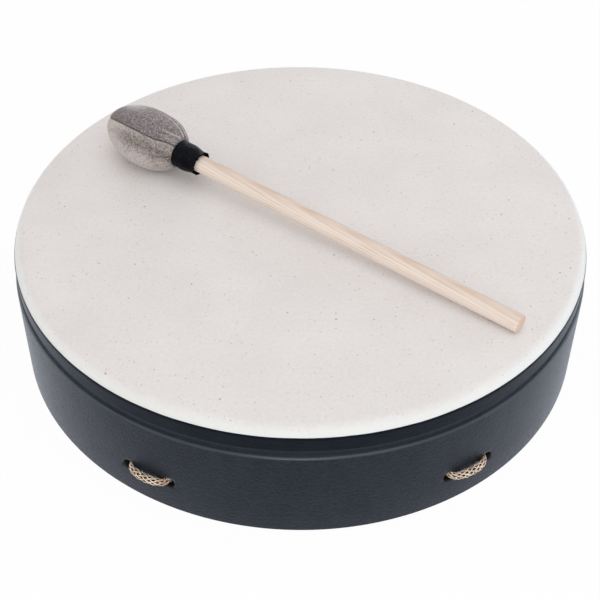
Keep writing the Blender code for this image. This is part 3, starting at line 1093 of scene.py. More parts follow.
@dataclass
class FilmHead:
    """The drumhead film and the black tape over its collar."""

    sizes: DrumSizes
    steps: int = 320
    edge_round: float = 0.008
    film_gap: float = 0.0001
    collar_lift: float = 0.0066
    film_rings: tuple[float, ...] = (0.0, 0.25, 0.5, 0.75, 0.9)
    tape_wave: float = 0.00032
    wave_scales: tuple[float, float] = (24.0, 80.0)
    fine_wave: float = 0.45
    tape_crease: float = 0.00012
    crease_scale: float = 90.0
    crease_rise: float = 160.0
    tape_rows: int = 14
    tape_feather: float = 0.0018
    feather_loss: float = 0.65

    @property
    def bend_height(self) -> float:
        """Height of the middle of the film's bend."""
        return self.sizes.head_height - self.edge_round

    @property
    def tuck(self) -> float:
        """How far the collar lies inside the tape's outer side."""
        return self.sizes.tape_thickness + self.film_gap

    @property
    def bend_radius(self) -> float:
        """Radius where the flat film starts to bend down."""
        return self.sizes.band_radius(self.bend_height) - self.tuck - self.edge_round

    def tape_share(self, height: float) -> float:
        """Share of the tape's thickness at a height; its top edge is worn thin."""
        feather = self.sizes.band_top - self.tape_feather
        return 1.0 - self.feather_loss * smooth_step((height - feather) / self.tape_feather)

    def tape_radius(self, height: float) -> float:
        """Outer radius of the tape, which is smoothed down onto the film's bend at its top.

        Args:
            height: The height on the drum.

        Returns:
            The radius there.
        """
        over = max(0.0, height - self.bend_height)
        film = self.bend_radius + math.sqrt(self.edge_round ** 2 - over ** 2)
        return min(self.sizes.band_radius(height), film + self.tuck * self.tape_share(height))

    def tape_lining(self, height: float) -> float:
        """Inner radius of the tape."""
        return self.tape_radius(height) - self.sizes.tape_thickness * self.tape_share(height)

    def build_film(self, film: bpy.types.Material) -> None:
        """The flat disc with its round edge and the collar drawn down under the tape.

        Args:
            film: Its finish.
        """
        sizes = self.sizes
        bend = self.bend_height
        edge = self.bend_radius + self.edge_round
        end = sizes.band_foot + self.collar_lift
        foot = sizes.band_radius(end) - self.tuck
        thick = sizes.film_thickness
        rings = [share * (edge - self.edge_round) for share in self.film_rings]
        points: Profile = [(ring, sizes.head_height) for ring in rings]
        points += arc((edge - self.edge_round, bend), self.edge_round, math.pi / 2, 0, 20)
        points.append((foot, end))
        points.append((foot - thick, end))
        points += arc((edge - self.edge_round, bend), self.edge_round - thick, 0, math.pi / 2, 10)
        points += [(ring, sizes.head_height - thick) for ring in reversed(rings)]
        head = as_object("head_film", spun(points, self.steps, False), [film])
        stand_in(head, "drumhead", Body.DRUM)

    def build_tape(self, tape: bpy.types.Material) -> None:
        """The band, with a hand-laid upper edge and shallow creases.

        Args:
            tape: Its finish.
        """
        sizes = self.sizes
        low = sizes.band_foot
        high = sizes.band_top
        heights = [low + (high - low) * row / self.tape_rows for row in range(self.tape_rows + 1)]
        points: Profile = [(self.tape_lining(z), z) for z in heights]
        points += [(self.tape_radius(z), z) for z in reversed(heights)]
        bm = spun(points, self.steps, True)
        for vert in bm.verts:
            share = (vert.co.z - low) / (high - low)
            flat = Vector((vert.co.x, vert.co.y, 0.0))
            slow, fast = (noise.noise(flat * scale) for scale in self.wave_scales)
            wave = slow + self.fine_wave * fast
            crease = noise.noise(flat * self.crease_scale + Vector((0.0, 0.0, vert.co.z * self.crease_rise)))
            vert.co.z += wave * self.tape_wave * smooth_step(share)
            lift = max(0.0, crease) * self.tape_crease * self.tape_share(vert.co.z)
            vert.co += flat.normalized() * lift
        band = as_object("collar_tape", bm, [tape])
        stand_in(band, "trim_tape", Body.DRUM)


@dataclass
class RopeGrip:
    """The two doubled, braided ropes of the hand grip and the lashing at their crossing.

    A stitch is one pass of rope outside the shell. Its rows go from the middle into a hole: the way
    along the shell, the height off it, and the share of its thickness that the rope keeps there.
    """

    sizes: DrumSizes
    step: float = 0.0007
    ease_rounds: int = 5
    carriers: int = 6
    braid_pitch: float = 0.033
    strand_width: float = 0.00055
    strand_height: float = 0.0005
    strand_sides: int = 5
    over_under: float = 0.00042
    press_spread: float = 0.15
    core_sides: int = 10
    core_skip: int = 3
    stitch_rows: tuple[tuple[float, float, float], ...] = (
        (0.0, 0.0036, 1.0),
        (0.0040, 0.0034, 1.0),
        (0.0075, 0.0029, 0.9),
        (0.0102, 0.0023, 0.72),
        (0.0122, 0.0016, 0.58),
        (0.0132, 0.0002, 0.55),
        (0.0136, -0.0020, 0.62),
        (0.0143, -0.0055, 0.8),
    )
    cord_join: float = 0.012
    cord_end_gap: float = 0.0006
    lashing_diameter: float = 0.004
    lashing_gap: float = 0.0008
    lashing_turns: int = 3
    lashing_drop: float = 0.003
    lashing_pitch: float = 0.0125
    lashing_strands: int = 3

    @property
    def cord_radius(self) -> float:
        """Radius of the grip's rope."""
        return self.sizes.cord_diameter / 2

    @property
    def strand_offset(self) -> float:
        """Half the distance between the two ropes of a doubled cord."""
        return (self.sizes.cord_diameter + self.sizes.fit_gap) / 2

    def cord_route(self, azimuth: float, middle_height: float) -> np.ndarray:
        """The route of one doubled cord: out and back across the drum, with a stitch at each end.

        Args:
            azimuth: The way the cord runs.
            middle_height: Its height where it passes the other cord.

        Returns:
            Rows of x, y, z and the share of its thickness that the rope keeps there.
        """
        sizes = self.sizes
        half_angle = sizes.hole_half_angle
        close = self.strand_offset / math.sin(half_angle)
        near_side = list(self.stitch_rows)
        rows = [(-way, height, kept) for way, height, kept in reversed(near_side)] + near_side[1:]

        def strand(end: int, side: int) -> list[tuple[float, ...]]:
            """From beside the crossing out to the hole.

            Args:
                end: 1 or -1 for the end of the cord.
                side: 1 or -1 for the side of the hole.

            Returns:
                Rows of x, y, z and the share of the thickness.
            """
            runs = ((close, middle_height), (sizes.inner_radius, sizes.grip_height))
            turn = half_angle * side
            return [(end * r * math.cos(turn), r * math.sin(turn), z, 1.0) for r, z in runs]

        def stitch(end: int, side: int) -> list[tuple[float, ...]]:
            """Out through the hole on one side and back in through the other.

            Args:
                end: 1 or -1 for the end of the cord.
                side: 1 or -1 for the side of the first hole.

            Returns:
                Rows of x, y, z and the share of the thickness.
            """
            points = []
            for way, height, kept in rows:
                turn = way / sizes.radius * -side
                r = sizes.radius + height
                points.append((end * r * math.cos(turn), r * math.sin(turn), sizes.grip_height, kept))
            return points

        local = [(-self.cord_join, -self.strand_offset, middle_height, 1.0)]
        local += strand(1, -1) + stitch(1, -1) + strand(1, 1)[::-1]
        local += strand(-1, 1) + stitch(-1, 1) + strand(-1, -1)[::-1]
        local.append((-self.cord_join - self.cord_end_gap, -self.strand_offset, middle_height, 1.0))
        along = polar(azimuth, 1.0, 0.0)
        across = polar(azimuth + math.pi / 2, 1.0, 0.0)
        return np.array([(*(along * x + across * y).xy, z, kept) for x, y, z, kept in local])

    def lashing_route(self) -> np.ndarray:
        """An outward winding over the upper cord and under the lower one, arm after arm.

        Returns:
            Rows of x, y, z and a share of the thickness, which is always whole.
        """
        sizes = self.sizes
        radius = self.lashing_diameter / 2
        clear = self.cord_radius + self.lashing_gap + radius
        first = self.strand_offset + clear
        pitch = self.lashing_diameter + self.lashing_gap
        upper = sizes.grip_height + self.strand_offset + clear
        lower = sizes.grip_height - self.strand_offset - clear
        arms = []
        for turn in (0.0, math.pi):
            arms.append((sizes.left_azimuth + turn, upper, -1))
            arms.append((sizes.right_azimuth + turn, lower, 1))

        def corner(index: int) -> Vector:
            """Where the winding passes between two arms.

            Args:
                index: Which passage, counted along the winding.

            Returns:
                The place, at height 0.
            """
            arm = index % len(arms)
            start = arms[arm][0]
            half = ((arms[(arm + 1) % len(arms)][0] - start) % FULL_TURN) / 2
            distance = first + pitch * index / len(arms)
            return polar(start + half, distance / math.sin(half), 0.0)

        crest = radius / 8
        rows = ((0.0, self.lashing_drop), (0.2, crest), (0.5, 0.0), (0.8, crest), (1.0, self.lashing_drop))
        points = []
        for index in range(self.lashing_turns * len(arms)):
            level, towards = arms[index % len(arms)][1:]
            before = corner(index - 1)
            after = corner(index)
            for share, drop in rows:
                point = before.lerp(after, share)
                points.append((point.x, point.y, level + towards * drop, 1.0))
        return np.array(points)

    def strands(self, bm: bmesh.types.BMesh, route: np.ndarray, count: int, turn: int, reach: np.ndarray,
                pitch: float, width: float, height: float) -> None:
        """Wind strands round a line.

        Args:
            bm: The mesh that takes them.
            route: The cord's centre line, with the share of its thickness in the fourth column.
            count: How many strands wind this way.
            turn: 1 or -1 for the way they wind.
            reach: Distance of a strand's centre from the line, at each point.
            pitch: Length of one full turn.
            width: Half width of a strand.
            height: Half height of a strand.
        """
        line = route[:, :3]
        _, normals, sides = carried_frames(line)
        flat = sides * route[:, 3:]
        tall = normals * (1.0 + (1.0 - route[:, 3:]) * self.press_spread)
        along = np.arange(len(line)) * self.step
        for strand in range(count):
            angle = FULL_TURN * (turn * along / pitch + strand / count)
            up = np.cos(angle)[:, None]
            aside = np.sin(angle)[:, None]
            out = normals * up * route[:, 3:] + sides * aside
            out /= np.linalg.norm(out, axis=1, keepdims=True)
            centre = line + (tall * up + flat * aside) * reach[:, None]
            oval_tube(bm, centre, out, width, height, self.strand_sides, RopeFace.YARN)

    def braid(self, name: str, route: np.ndarray, yarn: bpy.types.Material,
              heart: bpy.types.Material) -> bpy.types.Object:
        """A round braid of strands that pass over and under each other, round a dark core.

        Args:
            name: The rope's name.
            route: Its rows of x, y, z and the share of the thickness.
            yarn: Finish of the strands.
            heart: Finish of the core.

        Returns:
            The rope.
        """
        line = relaxed(resampled(route, self.step), self.ease_rounds)
        along = np.arange(len(line)) * self.step
        middle = self.cord_radius - self.strand_height - self.over_under
        swing = self.over_under * np.cos(FULL_TURN * self.carriers * along / self.braid_pitch)
        bm = empty_cord()
        for turn in (1, -1):
            self.strands(bm, line, self.carriers, turn, middle + turn * swing, self.braid_pitch,
                         self.strand_width, self.strand_height)
        _, normals, _ = carried_frames(line[:, :3])
        core = (middle - self.strand_height) * line[:, 3].min()
        skip = self.core_skip
        oval_tube(bm, line[::skip, :3], normals[::skip], core, core, self.core_sides, RopeFace.HEART)
        return as_object(name, bm, [yarn, heart], math.pi)

    def twist(self, name: str, route: np.ndarray, yarn: bpy.types.Material) -> bpy.types.Object:
        """A laid cord of round strands twisted together.

        Args:
            name: The cord's name.
            route: Its rows of x, y, z and the share of the thickness.
            yarn: Finish of the strands.

        Returns:
            The cord.
        """
        line = relaxed(resampled(route, self.step), self.ease_rounds)
        spread = math.sin(math.pi / self.lashing_strands)
        strand = self.lashing_diameter / 2 * spread / (1 + spread)
        reach = np.full(len(line), self.lashing_diameter / 2 - strand)
        bm = empty_cord()
        self.strands(bm, line, self.lashing_strands, 1, reach, self.lashing_pitch, strand, strand)
        return as_object(name, bm, [yarn], math.pi)

    def build(self, yarn: bpy.types.Material, heart: bpy.types.Material) -> None:
        """Braid both ropes and wind the lashing.

        Args:
            yarn: Finish of the strands.
            heart: Finish of the ropes' core.
        """
        sizes = self.sizes
        upper = sizes.grip_height + self.strand_offset
        lower = sizes.grip_height - self.strand_offset
        left = self.braid("rope_left", self.cord_route(sizes.left_azimuth, upper), yarn, heart)
        stand_in(left, "grip_cord_a", Body.DRUM)
        right = self.braid("rope_right", self.cord_route(sizes.right_azimuth, lower), yarn, heart)
        stand_in(right, "grip_cord_b", Body.DRUM)
        lashing = self.twist("rope_lashing", self.lashing_route(), yarn)
        stand_in(lashing, "grip_lashing", Body.DRUM)


# Mallet

@dataclass(frozen=True)
class Gather:
    """One fold or crease of the suede where it is drawn in at the neck.

    Attributes:
        angle: Where it lies round the head, in degrees.
        lean: How far it turns aside at the neck, in degrees.
        width: Its half width, in metres.
        height: How far it stands out, in metres; a crease goes in.
        reach: How far it runs from the neck, in metres.
        lean_reach: How fast the turn aside dies away from the neck, in metres.
    """

    angle: float
    lean: float
    width: float
    height: float
    reach: float
    lean_reach: float = 0.0045

    def lift(self, angle: float, above: float, radius: float) -> float:
        """How far it lifts the suede at a place.

        Args:
            angle: The place round the head.
            above: Its height over the neck.
            radius: Its distance from the stick's middle.

        Returns:
            The lift in metres.
        """
        if above >= self.reach:
            return 0.0
        middle = math.radians(self.angle + self.lean * math.exp(-above / self.lean_reach))
        away = ((angle - middle + math.pi) % FULL_TURN - math.pi) * radius
        return self.height * math.exp(-(away / self.width) ** 2) * (1.0 - smooth_step(above / self.reach))


@dataclass(frozen=True)
class Skin:
    """The suede at one place: its lift off the plain egg, its fold and its way from the seam."""

    lift: float
    fold: float
    across: float


class Swell:
    """Where a simulation moved the points of a coarse skin, read at any place from its nearest points."""

    nearest: int = 14

    def __init__(self, plain: Sequence[Vector], moved: Sequence[Vector], cap: float, reach: float) -> None:
        """Keep each point's move.

        Args:
            plain: Where the points were.
            moved: Where they are now.
            cap: The longest move that is kept.
            reach: How far a point's move spreads.
        """
        self.reach = reach
        self.shifts: list[Vector] = []
        self.tree = kdtree.KDTree(len(plain))
        for index, (start, end) in enumerate(zip(plain, moved)):
            shift = end - start
            self.shifts.append(shift * min(1.0, cap / max(shift.length, MERGE_DISTANCE)))
            self.tree.insert(start, index)
        self.tree.balance()

    def at(self, place: Vector) -> Vector:
        """The move at a place.

        Args:
            place: Where it is read, on the skin before the simulation.

        Returns:
            The mean of the nearest points' moves, weighted by their distance.
        """
        whole = Vector()
        weight = 0.0
        for _, index, distance in self.tree.find_n(place, self.nearest):
            share = math.exp(-(distance / self.reach) ** 2)
            whole += self.shifts[index] * share
            weight += share
        return whole / max(weight, MERGE_DISTANCE)


@dataclass(frozen=True)
class Stuffing:
    """A cloth simulation that stuffs a sewn skin: it swells between its seam and its neck.

    The skin starts slightly smaller, is cut slightly too wide, and is held where it is sewn. It is
    enlarged for the simulation, because cloth at the size of a mallet's head hardly bends.
    """

    inset: float = 0.0005
    enlarge: float = 20.0
    pressure: float = 4.0
    spare: float = 0.022
    stiffness: float = 15.0
    bending: float = 0.2
    frames: int = 20
    cap: float = 0.0008
    reach: float = 0.0016

    def swelled(self, skin: bmesh.types.BMesh, sewn: Sequence[int]) -> Swell:
        """Run the simulation on a coarse skin.

        Args:
            skin: The skin at its finished size; it is freed.
            sewn: Indices of the points that are held.

        Returns:
            How the skin moves off its finished size.
        """
        skin.normal_update()
        plain = [vert.co.copy() for vert in skin.verts]
        centre = sum(plain, Vector()) / len(plain)
        for vert in skin.verts:
            vert.co = (vert.co - vert.normal * self.inset - centre) * self.enlarge
        item = as_object("stuffing", skin, [])
        item.vertex_groups.new(name="sewn").add(list(sewn), 1.0, "REPLACE")
        cloth = item.modifiers.new("stuffing", "CLOTH")
        cloth.point_cache.frame_start = 1
        cloth.point_cache.frame_end = self.frames
        cloth.collision_settings.use_collision = False
        settings = cloth.settings
        settings.vertex_group_mass = "sewn"
        settings.tension_stiffness = self.stiffness
        settings.compression_stiffness = self.stiffness
        settings.shear_stiffness = self.stiffness / 3
        settings.bending_stiffness = self.bending
        settings.shrink_min = -self.spare
        settings.use_pressure = True
        settings.uniform_pressure_force = self.pressure
        settings.effector_weights.gravity = 0.0
        scene = bpy.context.scene
        for frame in range(1, self.frames + 1):
            scene.frame_set(frame)
        bake_modifiers(item)
        moved = [vert.co / self.enlarge + centre for vert in item.data.vertices]
        bpy.data.objects.remove(item)
        scene.frame_set(1)
        LOG.info("the cover's simulation ran over %d points", len(moved))
        return Swell(plain, moved, self.cap, self.reach)


@dataclass
class PaddedMallet:
    """The dowel, its padded suede head and the tape at its neck, modelled up the local Z axis."""

    head_height: float
    drum_radius: float
    length: float = 0.347
    butt_inset: float = 0.0205
    butt_azimuth: float = math.radians(50.77)
    heading: float = math.radians(144.8)
    fit_gap: float = 0.0003
    stick_radius: float = 0.00635
    stick_round: float = 0.0013
    stick_steps: int = 64
    tip_depth: float = 0.014
    cover_radius: float = 0.0216
    cover_front: float = 0.035
    cover_back: float = 0.0331
    back_power: float = 2.5
    cover_thickness: float = 0.0012
    cover_rows: int = 48
    cover_steps: int = 420
    lining_rows: int = 6
    sleeve_length: float = 0.013
    seam_angle: float = math.radians(137.5)
    seam_drift: float = math.radians(12.0)
    seam_drift_reach: float = 0.016
    seam_width: float = 0.0005
    seam_depth: float = 0.0005
    sewn_width: float = 0.0009
    coarse_rows: int = 22
    coarse_steps: int = 96
    lip_height: float = 0.00025
    lip_place: float = 2.2
    lip_spread: float = 1.3
    tip_fade: float = 0.0015
    foot_start: float = 0.001
    foot_fade: float = 0.002
    slack_height: float = 0.00012
    slack_scales: tuple[float, float] = (130.0, 420.0)
    fold_height: float = 0.0008
    neck_shade_share: float = 0.42
    neck_shade_reach: float = 0.024
    tape_length: float = 0.0188
    tape_turns: float = 3.3
    tape_start: float = math.radians(190.0)
    tape_wide: float = 0.0093
    tape_slim: float = 0.0078
    tape_layer: float = 0.00028
    tape_thickness: float = 0.00018
    tape_columns: int = 320
    tape_rows: int = 22
    tape_buckle: float = 0.00026
    buckle_scale: float = 2.6
    buckle_drift: tuple[float, float] = (2.4, 1.5)
    tape_crease: float = 0.00014
    crease_scale: float = 6.5
    crease_drift: tuple[float, float] = (2.0, 4.0)
    taper_start: float = 0.38
    taper_span: float = 0.55
    tape_flare: float = 0.0002
    tape_ragged: float = 0.0005
    flare_span: float = 0.2
    tape_lift: float = 0.0006
    lift_span: float = 0.03
    tape_skew: float = 0.0006
    skew_turn: float = 0.8
    tape_creep: float = 0.0004
    gathers: tuple[Gather, ...] = (
        Gather(163, 45, 0.0010, 0.0010, 0.022),
        Gather(152, 18, 0.0034, 0.0006, 0.020),
        Gather(186, 14, 0.0012, 0.0005, 0.016),
        Gather(205, 8, 0.0007, 0.0013, 0.038),
        Gather(211, 16, 0.0008, -0.0006, 0.030),
        Gather(216.5, 22, 0.0007, 0.0013, 0.034),
        Gather(224, 22, 0.0008, -0.0005, 0.028),
        Gather(232, 20, 0.0009, 0.0012, 0.030),
        Gather(248, 10, 0.0012, 0.0009, 0.026),
        Gather(266, 0, 0.0012, 0.0010, 0.024),
        Gather(286, 6, 0.0011, 0.0009, 0.027),
        Gather(303, -8, 0.0013, 0.0010, 0.022),
        Gather(322, 5, 0.0011, 0.0008, 0.026),
        Gather(341, -6, 0.0012, 0.0009, 0.020),
        Gather(2, 8, 0.0011, 0.0008, 0.024),
        Gather(22, -5, 0.0010, 0.0007, 0.018),
        Gather(40, 8, 0.0009, 0.0006, 0.014),
        Gather(56, -6, 0.0008, 0.0006, 0.011),
        Gather(70, 5, 0.0008, 0.0006, 0.014),
        Gather(84, -4, 0.0010, 0.0006, 0.020),
        Gather(100, 6, 0.0006, -0.0007, 0.034),
        Gather(107, 8, 0.0009, 0.0004, 0.024),
        Gather(122, 6, 0.0010, 0.0004, 0.014),
    )

    @property
    def tilt(self) -> float:
        """How far the stick rises from its butt to the head, which both rest on the film."""
        return math.asin((self.cover_radius - self.stick_radius) / (self.length - self.cover_front))

    @property
    def matrix(self) -> Matrix:
        """Where the mallet lies.

        Returns:
            The frame with its origin at the butt and its Z up the stick.
        """
        height = self.head_height + self.fit_gap + self.stick_radius * math.cos(self.tilt)
        place = polar(self.butt_azimuth, self.drum_radius - self.butt_inset, height)
        turn = Matrix.Rotation(self.heading, 4, "Z") @ Matrix.Rotation(math.pi / 2 - self.tilt, 4, "Y")
        return Matrix.Translation(place) @ turn

    @property
    def sleeve_bore(self) -> float:
        """Inner radius of the cover's sleeve."""
        return self.stick_radius + self.fit_gap

    @property
    def sleeve_radius(self) -> float:
        """Outer radius of the cover's sleeve."""
        return self.sleeve_bore + self.cover_thickness

    @property
    def neck(self) -> float:
        """Height, up the stick, where the cover is drawn in."""
        return self.head_profile(0.0, self.sleeve_radius, 4)[-1][1]

    def head_profile(self, inset: float, cut_radius: float, rows: int) -> Profile:
        """The egg-shaped head from tip to neck.

        Args:
            inset: How far the profile is moved in.
            cut_radius: The radius at which it ends.
            rows: Rows of each half.

        Returns:
            Its points.
        """
        middle = self.length - self.cover_front
        radius = self.cover_radius - inset
        front = self.cover_front - inset
        back = self.cover_back - inset
        points: Profile = []
        for step in range(rows):
            angle = math.pi / 2 * step / rows
            points.append((radius * math.sin(angle), middle + front * math.cos(angle)))
        last = math.pi - math.asin(cut_radius / radius)
        for step in range(rows + 1):
            angle = math.pi / 2 + (last - math.pi / 2) * step / rows
            drop = back * abs(math.cos(angle)) ** (2 / self.back_power)
            points.append((radius * math.sin(angle), middle - drop))
        return points

    def build_stick(self, wood: bpy.types.Material) -> None:
        """The dowel, with its sanded butt.

        Args:
            wood: Its finish.
        """
        tip = self.length - self.tip_depth
        radius = self.stick_radius
        eased = self.stick_round
        points: Profile = [(0.0, tip)]
        points += arc((radius - eased, tip - eased), eased, math.pi / 2, 0, 5)
        points += [(radius, tip * share) for share in (0.8, 0.6, 0.4, 0.2)]
        points += arc((radius - eased, eased), eased, 0, -math.pi / 2, 6)
        points += [(radius * 0.4, 0.0), (0.0, 0.0)]
        bm = spun(points, self.stick_steps, False)
        bmesh.ops.transform(bm, matrix=self.matrix, verts=bm.verts)
        stick = as_object("dowel", bm, [wood])
        stand_in(stick, "mallet_stick", Body.MALLET)

    def egg_height(self, radius: float) -> float:
        """Height up the stick where the back of the egg has a radius."""
        share = (1.0 - (radius / self.cover_radius) ** 2) ** (1 / self.back_power)
        return self.length - self.cover_front - self.cover_back * share

    def skin(self, angle: float, height: float, radius: float) -> Skin:
        """The suede's folds, seam and slack at a place.

        Args:
            angle: Round the head.
            height: Up the stick.
            radius: Of the plain egg there.

        Returns:
            What the suede does there.
        """
        above = height - self.neck
        foot = smooth_step((above - self.foot_start) / self.foot_fade)
        gathered = sum(gather.lift(angle, above, radius) for gather in self.gathers) * foot
        drift = self.seam_drift * smooth_step(1.0 - above / self.seam_drift_reach)
        across = radius * math.sin(angle - self.seam_angle - drift)
        groove = math.exp(-(across / self.seam_width) ** 2)
        beside = abs(across) - self.lip_place * self.seam_width
        lips = math.exp(-(beside / (self.lip_spread * self.seam_width)) ** 2)
        ends = smooth_step((self.length - height) / self.tip_fade) * foot
        seam = (self.lip_height * lips - self.seam_depth * groove) * ends
        spot = Vector((radius * math.cos(angle), radius * math.sin(angle), height))
        slack = self.slack_height * sum(noise.noise(spot * scale) for scale in self.slack_scales)
        # The fold value also carries painted shade near the neck, where the suede is drawn in.
        neck_shade = self.neck_shade_share * (1.0 - smooth_step(above / self.neck_shade_reach))
        return Skin(gathered + seam + slack * foot, gathered / self.fold_height - neck_shade, across)

    def swell(self) -> Swell:
        """Stuff a coarse copy of the cover, held along its seam and at its neck.

        Returns:
            How the copy moved.
        """
        profile = self.head_profile(0.0, self.sleeve_radius, self.coarse_rows)
        coarse = spun(profile, self.coarse_steps, False)
        coarse.verts.index_update()
        sewn = []
        for vert in coarse.verts:
            radius = max(vert.co.xy.length, MERGE_DISTANCE)
            across = self.skin(math.atan2(vert.co.y, vert.co.x), vert.co.z, radius).across
            on_seam = abs(across) < self.sewn_width and radius > self.sewn_width
            if on_seam or vert.co.z < self.neck + self.sewn_width:
                sewn.append(vert.index)
        return Stuffing().swelled(coarse, sewn)

    def build_cover(self, suede: bpy.types.Material) -> None:
        """The padded suede head: an egg with a seam, drawn into folds at the neck.

        Args:
            suede: Its finish.
        """
        outer = self.head_profile(0.0, self.sleeve_radius, self.cover_rows)
        inner = self.head_profile(self.cover_thickness, self.sleeve_bore, self.lining_rows)
        end = outer[-1][1] - self.sleeve_length
        profile = outer + [(self.sleeve_radius, end), (self.sleeve_bore, end)] + inner[::-1]
        bm = spun(profile, self.cover_steps, False)
        across = bm.verts.layers.float.new("across")
        fold = bm.verts.layers.float.new("fold")
        middle = self.length - self.cover_front
        swell = self.swell()
        for vert in bm.verts:
            flat = Vector((vert.co.x, vert.co.y, 0.0))
            radius = flat.length
            plain = self.cover_radius - self.cover_thickness / 2
            span = self.cover_front if vert.co.z > middle else self.cover_back
            share = min(1.0, abs(vert.co.z - middle) / (span - self.cover_thickness / 2))
            power = 2.0 if vert.co.z > middle else self.back_power
            outside = radius > max(POLE_RADIUS, plain * math.sqrt(1.0 - share ** power))
            if vert.co.z > self.neck and outside:
                skin = self.skin(math.atan2(flat.y, flat.x), vert.co.z, radius)
                if swell:
                    loose = smooth_step((vert.co.z - self.neck) / self.sewn_width - 1.0)
                    vert.co += swell.at(vert.co) * loose
                vert.co += flat / radius * skin.lift
                vert[across] = skin.across
                vert[fold] = skin.fold
        bmesh.ops.transform(bm, matrix=self.matrix, verts=bm.verts)
        cover = as_object("suede_cover", bm, [suede], math.pi)
        stand_in(cover, "mallet_cover", Body.MALLET)

    def tape_point(self, wound: float, down: float) -> Vector:
        """A point of the wound tape.

        Args:
            wound: The share of the winding, from its start to its lifted end.
            down: The share of the tape's width, from the head to its flared edge.

        Returns:
            The place in the mallet's own frame.
        """
        turn = self.tape_start + wound * self.tape_turns * FULL_TURN
        way = Vector((math.cos(turn), math.sin(turn), 0.0))

        def ripple(scale: float, drift: tuple[float, float]) -> float:
            """Noise that changes slowly round the neck and along the winding."""
            return noise.noise(way * scale + Vector((0.0, 0.0, down * drift[0] + wound * drift[1])))

        broad = ripple(self.buckle_scale, self.buckle_drift)
        fine = ripple(self.crease_scale, self.crease_drift)
        taper = smooth_step((down - self.taper_start) / self.taper_span)
        flare = smooth_step(1.0 - (1.0 - down) / self.flare_span)
        lift = smooth_step(1.0 - (1.0 - wound) / self.lift_span)
        radius = self.tape_wide + (self.tape_slim - self.tape_wide) * taper
        radius += self.tape_layer * (0.5 + wound * self.tape_turns)
        radius += self.tape_buckle * broad + self.tape_crease * fine
        radius += (self.tape_flare + self.tape_ragged * fine) * flare + self.tape_lift * lift
        top = self.egg_height(radius) - self.fit_gap
        bottom = self.neck - self.tape_length
        skew = self.tape_skew * (math.sin(turn + self.skew_turn) + wound - 0.5) + self.tape_creep * fine
        along = top + (bottom - top) * down + skew * smooth_step(down * 2.0)
        return way * radius + Vector((0.0, 0.0, along))

    def build_tape(self, vinyl: bpy.types.Material) -> None:
        """The tape, wound in overlapping layers with creases, a flared edge and a lifted end.

        Args:
            vinyl: Its finish.
        """
        bm = bmesh.new()
        bmesh.ops.create_grid(bm, x_segments=self.tape_columns, y_segments=self.tape_rows, size=0.5)
        for vert in bm.verts:
            vert.co = self.tape_point(vert.co.x + 0.5, vert.co.y + 0.5)
        bmesh.ops.recalc_face_normals(bm, faces=bm.faces)
        bmesh.ops.solidify(bm, geom=bm.faces[:], thickness=self.tape_thickness)
        bmesh.ops.recalc_face_normals(bm, faces=bm.faces)
        bmesh.ops.transform(bm, matrix=self.matrix, verts=bm.verts)
        tape = as_object("neck_tape", bm, [vinyl])
        stand_in(tape, "mallet_tape", Body.MALLET)


# Studio

class Tone(Enum):
    """Colours of the lamps."""

    PLAIN = (0.98, 1.0, 1.02)
    COOL = (0.868, 1.027, 1.172)


@dataclass(frozen=True)
class Lamp:
    """A soft lamp that points at the drum.

    Attributes:
        name: What it is called.
        place: Where it stands.
        size: Its width and height.
        power: Its power in watts.
        tone: The colour of its light.
    """

    name: str
    place: tuple[float, float, float]
    size: tuple[float, float]
    power: float
    tone: Tone = Tone.COOL

    def build(self, aim: Vector) -> None:
        """Add the lamp to the scene.

        Args:
            aim: The point that it faces.
        """
        data = bpy.data.lights.new(self.name, "AREA")
        data.color = self.tone.value
        data.shape = "RECTANGLE"
        data.size, data.size_y = self.size
        data.energy = self.power
        lamp = bpy.data.objects.new(self.name, data)
        bpy.context.scene.collection.objects.link(lamp)
        lamp.location = self.place
        lamp.rotation_euler = (aim - Vector(self.place)).to_track_quat("-Z", "Y").to_euler()


